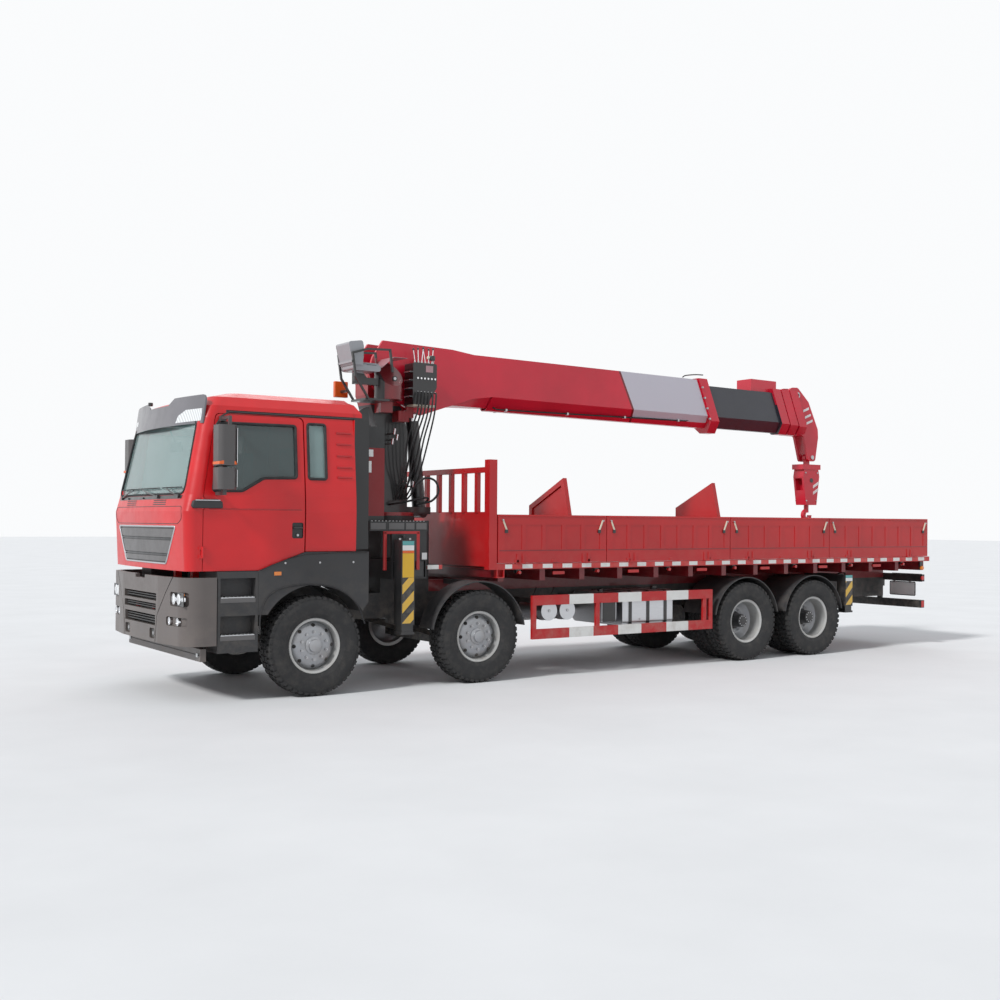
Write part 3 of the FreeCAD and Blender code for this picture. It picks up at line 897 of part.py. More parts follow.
def build_column():
    post = prism("post", "side", [
        ("slew_x - 180", "ring_top"), ("slew_x + 180", "ring_top"), ("slew_x + 200", "2900"), ("pivot_x + 120", "pivot_z - 200"),
        ("pivot_x + 120", "pivot_z + 110", "80"), ("pivot_x - 120", "pivot_z + 110", "80"), ("slew_x - 60", "3350"),
        ("slew_x - 180", "3000")], "-165", "165")
    plate = rod("column_flange", "z", "320", "ring_top - 0.7", "ring_top + 40", x="slew_x", y="0")
    pin = rod("foot_pin", "y", "pivot_pin", "-270", "270", x="pivot_x", z="pivot_z")
    foot = block("cylinder_foot", ("cylinder_foot_x - 70", "slew_x - 150"), ("-160", "-105"), ("ring_top + 20", "cylinder_foot_z + 70"))
    foot_left = block("cylinder_foot_left", ("cylinder_foot_x - 70", "slew_x - 150"), ("105", "160"), ("ring_top + 20", "cylinder_foot_z + 70"))
    base = block("cylinder_base", ("cylinder_foot_x + 90", "slew_x"), ("-160", "160"), ("ring_top - 0.7", "ring_top + 25"))
    foot_pin = rod("cylinder_foot_pin", "y", "cylinder_pin", "-160", "160", x="cylinder_foot_x", z="cylinder_foot_z")
    hood = cut("hood", rod("hood_body", "z", "170", "3340", "3830", x="3185", y="410"), [prism("hood_slant", "front", [
        ("220", "3840"), ("700", "3840"), ("700", "3380")], "2900", "3500")])
    seat = [prism("seat_pan", "side", [("3400", "3640", "30"), ("3760", "3640", "30"), ("3760", "3715"), ("3400", "3715", "30")], "320", "620"),
            prism("seat_back", "side", [("3640", "3700"), ("3770", "3700"), ("3830", "3960", "30"), ("3640", "3990", "30")], "300", "640"),
            prism("seat_arm", "side", [("3240", "3500"), ("3655", "3500"), ("3655", "3650"), ("3560", "3650"), ("3500", "3580"), ("3240", "3580")],
                  "385", "465"),
            block("foot_plate", ("3300", "3620"), ("295", "660"), ("3298", "3322"))]
    loop = [("3590", "3305"), ("3760", "3560"), ("3800", "3840"), ("3600", "3900"), ("3290", "3915"), ("3255", "3640")]
    back = [("3280", "3645"), ("3312", "3890"), ("3596", "3876"), ("3775", "3820"), ("3738", "3568"), ("3572", "3318")]
    for number, y in enumerate((282, 650)):
        seat.append(prism("seat_guard%d" % number, "side", loop + back, str(y), str(y + 25)))
    seat.append(block("guard_bar", ("3768", "3793"), ("290", "665"), ("3722", "3747")))
    valve = prism("valve_bank", "side", [("2565", "3810", "25"), ("2565", "3520"), ("2697", "3304"), ("2896", "3304"), ("2896", "3810", "25")],
                  "290", "500")
    valve_arm = block("valve_arm", ("2850", "3000"), ("150", "330"), ("3100", "3230"))
    valve_riser = block("valve_riser", ("2790", "2890"), ("295", "330"), ("3150", "3330"))
    hood_arm = block("hood_arm", ("3080", "3240"), ("150", "330"), ("3200", "3345"))
    stand = [post, plate, pin, foot, foot_left, base, foot_pin]
    node("slewing_column", fuse("column_solid", stand + [valve, valve_arm, valve_riser, hood, hood_arm] + seat))


def build_boom():
    hollow = section("boom_room", "(boom_half - boom_wall)", "(boom_low + boom_wall)", "(boom_top - boom_wall)", "boom_chamfer",
                     "boom_tube_front + 10", "(collar_x - collar_long - 300)", "boom_top")
    tube = section("boom_tube", "boom_half", "boom_low", "boom_top", "boom_chamfer", "boom_tube_front", "collar_x", "boom_top")
    collar_outer = section("boom_collar_out", "(boom_half + 28)", "(boom_low - 70)", "(boom_top + 20)", "boom_chamfer",
                           "collar_x + 700", "(collar_x - collar_long)", "boom_top")
    lean_room = prism("collar_room", "side", [
        ("collar_x + 900", "boom_low - 400"), ("collar_x + 900", "boom_top + 200"), ("collar_x + 200 * boom_slope", "boom_top + 200"),
        ("collar_x - (boom_top - boom_low + 400) * boom_slope", "boom_low - 400")], "-400", "400")
    collar = cut("boom_collar", collar_outer, [lean_room])
    cheeks = []
    for side, start, end in (("left", "boom_half - cheek_thick", "boom_half"), ("right", "-boom_half", "-boom_half + cheek_thick")):
        cheeks.append(prism("cheek_" + side, "side", [
            ("boom_tube_front - 30", "boom_low + 170"), ("1860", "boom_low + 120", "300"), ("cylinder_eye_x - 20", "3205", "30"),
            ("pivot_x + 60", "pivot_z - 140", "60"), ("pivot_x + 140", "pivot_z + 60", "60"),
            ("pivot_x + 85", "boom_top - 156"), ("pivot_x - 50", "boom_top + 56"), ("2170", "boom_top + 36"),
            ("1850", "boom_top"), ("boom_tube_front - 30", "boom_top")],
            start, end))
    crown = block("crown_plate", ("boom_tube_front - 30", "2950"), ("-boom_half + 10", "boom_half - 10"), ("boom_top - 2 * boom_wall", "boom_top"))
    whole = fuse("boom_whole", [tube, collar, crown] + cheeks)
    pin_room = rod("pin_room", "y", "pivot_pin + running_gap", "-400", "400", x="pivot_x", z="pivot_z")
    tilted("boom_base", cut("boom_base_solid", whole, [hollow, pin_room]))

    low_two = "(boom_low + boom_wall + slide_gap)"
    low_three = "(boom_low + boom_wall + stage_wall + 2 * slide_gap)"
    low_tip = "(boom_low + boom_wall + 2 * stage_wall + 3 * slide_gap)"
    chamfer, chamfer_three, chamfer_tip = ("(boom_chamfer - %d * chamfer_step)" % step for step in (1, 2, 3))
    two = section("two_tube", "stage_two_half", low_two, "stage_two_top", chamfer, "1440", "stage_two_end", "stage_two_top")
    two_room = section("two_room", "(stage_two_half - stage_wall)", "(%s + stage_wall)" % low_two, "(stage_two_top - stage_wall)",
                       chamfer, "1460", "(stage_two_end - 700)", "stage_two_top")
    head_two = leaning_ring("two_head", 0, "stage_two_half", low_two, "stage_two_top", chamfer)
    box = block("head_box", ("stage_two_end - 130", "stage_two_end + 410"), ("-150", "150"), ("stage_two_top - 20", "stage_two_top + 185"))
    tilted("boom_stage_two", cut("two_solid", fuse("two_body", [two, head_two, box]), [two_room]))
    three = section("three_tube", "stage_three_half", low_three, "stage_three_top", chamfer_three, "1380", "(stage_two_end - 190)", "stage_two_top")
    three_room = section("three_room", "(stage_three_half - stage_wall)", "(%s + stage_wall)" % low_three, "(stage_three_top - stage_wall)",
                         chamfer_three, "1400", "(stage_two_end - 900)", "stage_two_top")
    head_three = leaning_ring("three_head", 1, "stage_three_half", low_three, "stage_three_top", chamfer_three)
    tilted("boom_stage_three", cut("three_solid", fuse("three_body", [three, head_three]), [three_room]))
    tip = section("tip_tube", "tip_half", low_tip, "tip_top", chamfer_tip, "1320", "(stage_two_end - 380)", "stage_two_top")
    tip_room = section("tip_room", "(tip_half - stage_wall)", "(%s + stage_wall)" % low_tip, "(tip_top - stage_wall)", chamfer_tip,
                       "1340", "(stage_two_end - 300)", "stage_two_top")
    head_tip = leaning_ring("tip_head", 2, "tip_half", low_tip, "tip_top", chamfer_tip)
    droop = []
    for side, start, end in (("left", "75", "115"), ("right", "-115", "-75")):
        droop.append(prism("droop_" + side, "side", [
            ("-4060", "4080", "90"), ("-3960", "3900"), ("-4200", "3400"), ("hook_pin_x + 190", "3330"), ("hook_pin_x + 75", "hook_pin_z - 60", "50"),
            ("hook_pin_x - 75", "hook_pin_z - 60", "50"), ("hook_pin_x - 140", "3330"), ("-4690", "3460"), ("-4470", "3880"), ("-4220", "4090", "60")],
            start, end))
    face = block("droop_face", ("-4300", "-4165"), ("-115", "115"), ("3420", "3860"))
    pin = rod("hook_pin", "y", "30", "-118", "118", x="hook_pin_x", z="hook_pin_z")
    tilted("boom_tip", fuse("tip_solid", [cut("tip_hollow", fuse("tip_body", [tip, head_tip]), [tip_room]), face, pin] + droop))


def leaning_ring(name, number, half, low, top, chamfer):
    """The stiff collar at the end of a boom section."""
    end = "(stage_two_end - %d)" % (190 * number)
    grown = section(name + "_out", "(stage_two_half + 34)", "(boom_low - 5)", "(stage_two_top + 60)", chamfer,
                    end + " + 500", "(%s - 170)" % end, "stage_two_top")
    keep = prism(name + "_keep", "side", [
        (end + " + 900", "boom_low - 400"), (end + " + 900", "stage_two_top + 400"), (end + " + 400 * boom_slope", "stage_two_top + 400"),
        (end + " - (stage_two_top - boom_low + 400) * boom_slope", "boom_low - 400")], "-400", "400")
    ring = cut(name + "_ring", grown, [keep])
    bore = section(name + "_bore", "(%s - stage_wall)" % half, "(%s + stage_wall)" % low, "(%s - stage_wall)" % top, chamfer,
                   end + " + 800", "(%s - 700)" % end, "stage_two_top")
    return cut(name, ring, [bore])


def build_lift_cylinder():
    """Barrel and rod stand along Z here and are leaned to the line from foot to eye."""
    foot_x, foot_z = size("cylinder_foot_x"), size("cylinder_foot_z")
    eye_x, eye_z = size("cylinder_eye_x"), size("cylinder_eye_z")
    span = math.hypot(eye_x - foot_x, eye_z - foot_z)
    lean = FreeCAD.Rotation(FreeCAD.Vector(0, 1, 0), math.degrees(math.atan2(eye_x - foot_x, eye_z - foot_z)))

    def leaned(label, shape):
        piece = doc.addObject("Part::Feature", label + "_shape")
        piece.Shape = shape
        piece.Placement = FreeCAD.Placement(FreeCAD.Vector(foot_x, 0, foot_z), lean)
        return node(label, piece)
    up = FreeCAD.Vector(0, 0, 1)
    across = FreeCAD.Vector(0, 1, 0)
    radius = size("barrel_radius")
    rod_radius = size("rod_radius")
    eye = Part.makeCylinder(65, 200, FreeCAD.Vector(0, -100, 0), across)
    barrel = Part.makeCylinder(radius, span - 190, FreeCAD.Vector(0, 0, 50), up).fuse(eye)
    bore = Part.makeCylinder(rod_radius + size("running_gap"), span, FreeCAD.Vector(0, 0, 90), up)
    foot_bore = Part.makeCylinder(size("cylinder_pin") + size("running_gap"), 300, FreeCAD.Vector(0, -150, 0), across)
    leaned("lift_barrel", barrel.cut(bore).cut(foot_bore).removeSplitter())
    shaft = Part.makeCylinder(rod_radius, span - 120, FreeCAD.Vector(0, 0, 110), up)
    top_eye = Part.makeCylinder(60, 200, FreeCAD.Vector(0, -100, span), across)
    half = size("boom_half") - size("cheek_thick") - size("running_gap")
    top_pin = Part.makeCylinder(size("cylinder_pin"), 2 * half, FreeCAD.Vector(0, -half, span), across)
    leaned("lift_rod", shaft.fuse(top_eye).fuse(top_pin).removeSplitter())


def build_hook():
    """The block hangs plumb from the head's pin, whose place follows the boom's tilt."""
    reach = "(hook_pin_x - pivot_x)"
    drop = "(hook_pin_z - pivot_z)"
    x = "(pivot_x + %s * cos(boom_tilt * 1deg) - %s * sin(boom_tilt * 1deg))" % (reach, drop)
    z = "(pivot_z + %s * sin(boom_tilt * 1deg) + %s * cos(boom_tilt * 1deg))" % (reach, drop)
    hanger = fuse("hanger", [
        rod("hanger_eye", "y", "62", "-30", "30", x=x, z=z),
        block("hanger_bar", (x + " - 40", x + " + 40"), ("-30", "30"), (z + " - 190", z))])
    bored = cut("hanger_bored", hanger, [rod("hanger_bore", "y", "30 + running_gap", "-50", "50", x=x, z=z)])
    body = prism("hook_case", "side", [
        (x + " - 150", z + " - 130"), (x + " + 150", z + " - 130"), (x + " + 185", z + " - 300"), (x + " + 120", z + " - 750"),
        (x + " - 120", z + " - 750"), (x + " - 185", z + " - 300")], "-105", "105")
    body = cut("hook_case_open", body, [block("hook_window", (x + " + 60", x + " + 200"), ("-70", "70"), (z + " - 520", z + " - 330"))])
    cap = block("hook_cap", (x + " - 205", x + " + 205"), ("-112", "112"), (z + " - 190", z + " - 110"))
    shank = rod("hook_shank", "z", "38", z + " - 870", z + " - 740", x=x, y="0")
    bowl = cut("hook_bowl", rod("hook_bowl_out", "y", "95", "-28", "28", x=x, z=z + " - 910"),
               [rod("hook_bowl_in", "y", "45", "-40", "40", x=x + " - 5", z=z + " - 910"),
                block("hook_mouth", (x + " - 200", x + " - 10"), ("-40", "40"), (z + " - 910", z + " - 770"))])
    node("hook_block", fuse("hook_solid", [bored, body, cap, shank, bowl]))


build_frame()
build_axles()
build_springs()
build_engine()
for axle in ("one", "two"):
    build_front_wheel(axle, "axle_%s_x" % axle)
    build_knuckle(axle, "axle_%s_x" % axle)
for axle in ("three", "four"):
    build_twin_wheel(axle, "axle_%s_x" % axle)
build_visor_and_mirrors(build_cab())
build_cab_interior()
build_front()
build_mudguards()
build_side_equipment()
build_guards()
build_bed()
build_boards()
build_crane_base()
build_outrigger("left", "beam_front_x", 1)
build_outrigger("right", "beam_back_x", -1)
build_rear_outriggers()
build_column()
build_boom()
build_lift_cylinder()
build_hook()

doc.recompute()
for item in doc.Objects:
    if "Invalid" in item.State or "Error" in item.State:
        raise RuntimeError("%s: %s" % (item.Name, item.State))
for label, item in NODES.items():
    if item.Shape.isNull() or not item.Shape.isValid() or not item.Shape.Solids:
        raise RuntimeError("bad shape in " + label)
for label, item in NODES.items():
    item.Shape.exportStep("parts/%s.step" % label)
print(len(NODES), "nodes")
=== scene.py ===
import math

import bmesh
import bpy
from mathutils import Matrix, Vector


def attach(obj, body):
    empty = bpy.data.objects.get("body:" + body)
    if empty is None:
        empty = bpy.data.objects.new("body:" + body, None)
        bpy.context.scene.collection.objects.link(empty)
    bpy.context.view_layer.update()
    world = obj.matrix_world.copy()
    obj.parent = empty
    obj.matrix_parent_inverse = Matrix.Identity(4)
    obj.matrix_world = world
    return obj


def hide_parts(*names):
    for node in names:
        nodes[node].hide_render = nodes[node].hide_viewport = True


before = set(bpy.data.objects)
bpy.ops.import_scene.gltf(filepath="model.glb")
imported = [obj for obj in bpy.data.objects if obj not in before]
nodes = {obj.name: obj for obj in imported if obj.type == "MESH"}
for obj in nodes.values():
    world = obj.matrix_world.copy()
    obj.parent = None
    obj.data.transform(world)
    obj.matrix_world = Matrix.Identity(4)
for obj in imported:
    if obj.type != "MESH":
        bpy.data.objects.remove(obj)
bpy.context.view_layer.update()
SIDES = (("left", 1), ("right", -1))
X, Y, Z = Vector((1, 0, 0)), Vector((0, 1, 0)), Vector((0, 0, 1))
AXES = {"x": X, "y": Y, "z": Z}


# Camera, from the photograph: place in metres, angles in radians, focal length and centre in pixels
CAMERA = {"place": (10.1188, 13.2143, 1.8924), "yaw": -0.6081, "pitch": 0.0110, "roll": 0.0068,
          "focal": 1210.76, "centre_x": 23.2, "centre_y": 8.66}
IMAGE_SIZE = 1000.0


def make_camera():
    data = bpy.data.cameras.new("camera")
    data.sensor_width = 36.0
    data.lens = data.sensor_width * CAMERA["focal"] / IMAGE_SIZE
    data.shift_x = -CAMERA["centre_x"] / IMAGE_SIZE
    data.shift_y = CAMERA["centre_y"] / IMAGE_SIZE
    data.clip_end = 300.0
    yaw, pitch, roll = CAMERA["yaw"], CAMERA["pitch"], CAMERA["roll"]
    ahead = Vector((math.sin(yaw) * math.cos(pitch), -math.cos(yaw) * math.cos(pitch), math.sin(pitch)))
    level = ahead.cross(Z).normalized()
    rise = level.cross(ahead)
    right = math.cos(roll) * level + math.sin(roll) * rise
    up = math.cos(roll) * rise - math.sin(roll) * level
    turn = Matrix((right, up, -ahead)).transposed().to_4x4()
    camera = bpy.data.objects.new("camera", data)
    camera.matrix_world = Matrix.Translation(CAMERA["place"]) @ turn
    bpy.context.scene.collection.objects.link(camera)
    bpy.context.scene.camera = camera


# Materials
class Recipe:
    """A material's nodes, added one by one."""

    def __init__(self, name):
        self.material = bpy.data.materials.new(name)
        self.material.use_nodes = True
        self.tree = self.material.node_tree
        self.shader = self.tree.nodes["Principled BSDF"]
        self.place = self.tree.nodes.new("ShaderNodeTexCoord").outputs["Object"]

    def link(self, out, into):
        self.tree.links.new(out, into)

    def add(self, kind, **inputs):
        item = self.tree.nodes.new(kind)
        for key, value in inputs.items():
            socket = item.inputs[key.replace("_", " ")]
            if isinstance(value, bpy.types.NodeSocket):
                self.link(value, socket)
            else:
                socket.default_value = value
        return item

    def noise(self, scale, detail=4.0, rough=0.55):
        return self.add("ShaderNodeTexNoise", Vector=self.place, Scale=scale, Detail=detail, Roughness=rough).outputs["Fac"]

    def ramp(self, fac, low, high):
        item = self.add("ShaderNodeMapRange", Value=fac)
        item.inputs["From Min"].default_value = low
        item.inputs["From Max"].default_value = high
        return item.outputs["Result"]

    def mix(self, fac, first, second):
        item = self.tree.nodes.new("ShaderNodeMix")
        item.data_type = "RGBA"
        for socket, value in ((item.inputs[0], fac), (item.inputs[6], first), (item.inputs[7], second)):
            if isinstance(value, bpy.types.NodeSocket):
                self.link(value, socket)
            else:
                socket.default_value = value
        return item.outputs[2]

    def math(self, operation, first, second=0.0):
        item = self.tree.nodes.new("ShaderNodeMath")
        item.operation = operation
        for socket, value in zip(item.inputs, (first, second)):
            if isinstance(value, bpy.types.NodeSocket):
                self.link(value, socket)
            else:
                socket.default_value = value
        return item.outputs[0]

    def axis(self, letter):
        split = self.add("ShaderNodeSeparateXYZ", Vector=self.place)
        return split.outputs[letter.upper()]

    def within(self, slopes=(), **spans):
        """1 inside every span of x, y, z or wide, which is the distance from the middle plane; slopes are (letter, slope, low, high) on letter - slope * z."""
        tests = []
        for letter, slope, low, high in tuple((key, 0.0, *span) for key, span in spans.items()) + tuple(slopes):
            value = self.math("ABSOLUTE", self.axis("y")) if letter == "wide" else self.axis(letter)
            if slope:
                value = self.math("SUBTRACT", value, self.math("MULTIPLY", self.axis("z"), slope))
            tests += [self.math("GREATER_THAN", value, low), self.math("LESS_THAN", value, high)]
        mask = tests[0]
        for test in tests[1:]:
            mask = self.math("MULTIPLY", mask, test)
        return mask

    def bump(self, height, strength, distance=0.01):
        item = self.add("ShaderNodeBump", Height=height, Strength=strength, Distance=distance)
        self.link(item.outputs["Normal"], self.shader.inputs["Normal"])

    def finish(self, color, rough, metal=0.0, coat=0.0):
        if isinstance(color, bpy.types.NodeSocket):
            self.link(color, self.shader.inputs["Base Color"])
        else:
            self.shader.inputs["Base Color"].default_value = color
        if isinstance(rough, bpy.types.NodeSocket):
            self.link(rough, self.shader.inputs["Roughness"])
        else:
            self.shader.inputs["Roughness"].default_value = rough
        self.shader.inputs["Metallic"].default_value = metal
        self.shader.inputs["Coat Weight"].default_value = coat
        self.shader.inputs["Coat Roughness"].default_value = 0.08
        return self.material


def rgba(color, gain=1.0):
    return tuple(channel * gain for channel in color) + (1.0,)


DUST = (0.32, 0.27, 0.22)


def coated(name, color, rough=0.35, metal=0.0, coat=0.5, vary=0.12, dust=0.25, dust_top=1.6, peel=0.05, peel_scale=260.0,
           areas=()):
    """Painted or moulded surface: slow colour drift, dust that thickens towards the road, and a fine skin texture."""
    recipe = Recipe(name)
    drift = recipe.ramp(recipe.noise(1.3, 3.0), 0.3, 0.7)
    base = recipe.mix(drift, rgba(color, 1.0 - vary), rgba(color, 1.0 + vary))
    # Areas lay other colours over the base: paint schemes, joints and black parts, and on some materials painted shade.
    for tint, slopes, spans in areas:
        base = recipe.mix(recipe.within(slopes, **spans), base, rgba(tint))
    patches = recipe.ramp(recipe.noise(7.0, 6.0, 0.65), 0.42, 0.75)
    low = recipe.ramp(recipe.axis("z"), dust_top, 0.1)
    soil = recipe.math("MULTIPLY", recipe.math("MULTIPLY", patches, low), dust)
    shade = recipe.mix(soil, base, rgba(DUST))
    gloss = recipe.add("ShaderNodeMapRange", Value=patches)
    gloss.inputs["To Min"].default_value = rough
    gloss.inputs["To Max"].default_value = min(1.0, rough + 0.14)
    recipe.bump(recipe.noise(peel_scale, 2.0), peel, 0.002)
    return recipe.finish(shade, gloss.outputs["Result"], metal, coat)


def bare_metal(name, color, rough=0.3, streak=(2.0, 2.0, 90.0)):
    recipe = Recipe(name)
    stretched = recipe.add("ShaderNodeMapping", Vector=recipe.place, Scale=streak)
    grain = recipe.add("ShaderNodeTexNoise", Vector=stretched.outputs["Vector"], Scale=6.0, Detail=5.0)
    shade = recipe.mix(grain.outputs["Fac"], rgba(color, 0.8), rgba(color, 1.15))
    gloss = recipe.add("ShaderNodeMapRange", Value=grain.outputs["Fac"])
    gloss.inputs["To Min"].default_value = rough * 0.7
    gloss.inputs["To Max"].default_value = rough * 1.5
    recipe.bump(grain.outputs["Fac"], 0.06, 0.002)
    return recipe.finish(shade, gloss.outputs["Result"], 1.0)


def pane(name, color, alpha=0.45):
    recipe = Recipe(name)
    shade = recipe.mix(recipe.noise(2.0, 3.0), rgba(color, 0.85), rgba(color, 1.2))
    recipe.shader.inputs["Alpha"].default_value = alpha
    recipe.shader.inputs["IOR"].default_value = 1.5
    recipe.bump(recipe.noise(3.0, 2.0), 0.01, 0.01)
    return recipe.finish(shade, 0.06, 0.0, 0.6)


def lens(name, color, glow=0.0):
    """A lamp's ribbed cover."""
    recipe = Recipe(name)
    wave = recipe.add("ShaderNodeTexWave", Vector=recipe.place, Scale=38.0, Distortion=0.4)
    shade = recipe.mix(wave.outputs["Fac"], rgba(color, 0.75), rgba(color, 1.1))
    recipe.bump(wave.outputs["Fac"], 0.25, 0.004)
    if glow:
        recipe.shader.inputs["Emission Color"].default_value = rgba(color)
        recipe.shader.inputs["Emission Strength"].default_value = glow
    return recipe.finish(shade, 0.12, 0.0, 0.8)


def rubbery(name, color=(0.022, 0.022, 0.023)):
    recipe = Recipe(name)
    dusty = recipe.ramp(recipe.noise(9.0, 6.0, 0.7), 0.45, 0.85)
    shade = recipe.mix(recipe.math("MULTIPLY", dusty, 0.5), rgba(color), (0.10, 0.09, 0.08, 1))
    recipe.bump(recipe.noise(140.0, 3.0), 0.25, 0.002)
    return recipe.finish(shade, 0.78)


def striped(name, first, second, period, slope=1.0, along="x", rough=0.4):
    """Slanting bands of two colours, as on a warning panel."""
    recipe = Recipe(name)
    lean = recipe.math("MULTIPLY", recipe.axis("z"), slope)
    place = recipe.math("DIVIDE", recipe.math("ADD", recipe.axis(along), lean), period)
    band = recipe.math("GREATER_THAN", recipe.math("FRACT", place), 0.5)
    wear = recipe.ramp(recipe.noise(16.0, 5.0), 0.35, 0.8)
    clean = recipe.mix(band, rgba(first), rgba(second))
    shade = recipe.mix(recipe.math("MULTIPLY", wear, 0.3), clean, rgba(DUST))
    recipe.bump(recipe.noise(220.0, 2.0), 0.05, 0.002)
    return recipe.finish(shade, rough, 0.0, 0.2)


RED_CAB = (0.62, 0.007, 0.011)
RED_BED = (0.45, 0.006, 0.008)
CRIMSON = (0.56, 0.008, 0.030)
DEEP_RED = (0.16, 0.004, 0.008)
INK = (0.014, 0.014, 0.015)
PALE_BAND = (0.52, 0.50, 0.56)
PALE_TAPE = (0.72, 0.72, 0.70)
NAVY = (0.02, 0.022, 0.032)
CAB_AREAS = (
    (INK, (), {"x": (0.0, 4.008), "z": (0.0, 3.012)}),
    (INK, (), {"x": (3.9, 5.48), "wide": (1.0, 2.0), "z": (3.004, 3.036)}),
    (INK, (("wide", 0.7, -9.0, -0.3212),), {"x": (5.8, 6.1), "z": (1.436, 1.816)}),
)
DOOR_AREAS = ((INK, (), {"x": (4.635, 4.773), "wide": (1.0, 1.221), "z": (1.696, 1.874)}),)
BAND_AREAS = (
    (PALE_BAND, (("x", 0.48, -99.0, -2.45), ("x", 0.43, -3.700, 99.0)), {"z": (3.370, 4.4)}),
    (DEEP_RED, (("x", 0.48, -2.475, -2.44),), {"z": (3.0, 4.4)}),
)
SECOND_AREAS = (
    (CRIMSON, (("x", 0.43, -99.0, -5.245),), {"z": (3.0, 4.4)}),
    (CRIMSON, (), {"x": (-3.72, -3.14), "z": (3.905, 4.4)}),
)
COLUMN_AREAS = (
    (INK, (), {"wide": (0.0, 0.17), "z": (1.8, 3.3)}),
    (INK, (), {"x": (2.555, 2.905), "y": (0.28, 0.51), "z": (3.290, 3.82)}),
    # painted shade: the red body under the tilted plate is darkened to deep red to stand for its shadow
    (DEEP_RED, (), {"x": (3.005, 3.365), "y": (0.23, 0.59), "z": (3.33, 3.84)}),
    (INK, (), {"x": (3.30, 3.90), "y": (0.20, 0.70), "z": (3.15, 3.66)}),
    (INK, (), {"x": (3.365, 3.90), "y": (0.275, 0.308), "z": (3.60, 4.2)}),
    (INK, (), {"x": (3.365, 3.90), "y": (0.648, 0.685), "z": (3.60, 4.2)}),
    (INK, (), {"x": (3.0, 3.365), "y": (0.60, 0.70), "z": (3.5, 4.2)}),
    (INK, (), {"x": (3.0, 3.365), "y": (0.27, 0.60), "z": (3.842, 4.2)}),
    ((0.30, 0.31, 0.33), (), {"x": (3.37, 3.90), "y": (0.308, 0.648), "z": (3.625, 4.2)}),
)
# painted shade: the oil tank keeps its red, darkened to stand for the shadow it stands in
BASE_AREAS = (((0.20, 0.005, 0.008), (), {"x": (3.54, 3.77), "y": (0.55, 1.01), "z": (1.95, 2.72)}),)
GUARD_AREAS = (
    (RED_BED, (), {"x": (-1.4, 1.7), "wide": (1.14, 1.4)}),
    (PALE_TAPE, (), {"x": (0.70, 1.08), "wide": (1.14, 1.4)}),
    (PALE_TAPE, (), {"x": (-0.085, 0.30), "wide": (1.14, 1.4)}),
    (PALE_TAPE, (), {"x": (-0.90, -0.515), "wide": (1.14, 1.4)}),
)
SEAM = ((0.950, 1.300), (0.770, 1.120), (0.575, 0.885), (0.520, 0.600))


def seam_areas():
    """The bumper's joint lines, painted from corner to corner."""
    areas = []
    for (y_high, high), (y_low, low) in zip(SEAM, SEAM[1:]):
        slope = (y_high - y_low) / (high - low)
        middle = y_low - slope * low
        areas.append((INK, (("wide", slope, middle - 0.006, middle + 0.006),), {"x": (5.90, 6.1), "z": (low, high)}))
    return areas


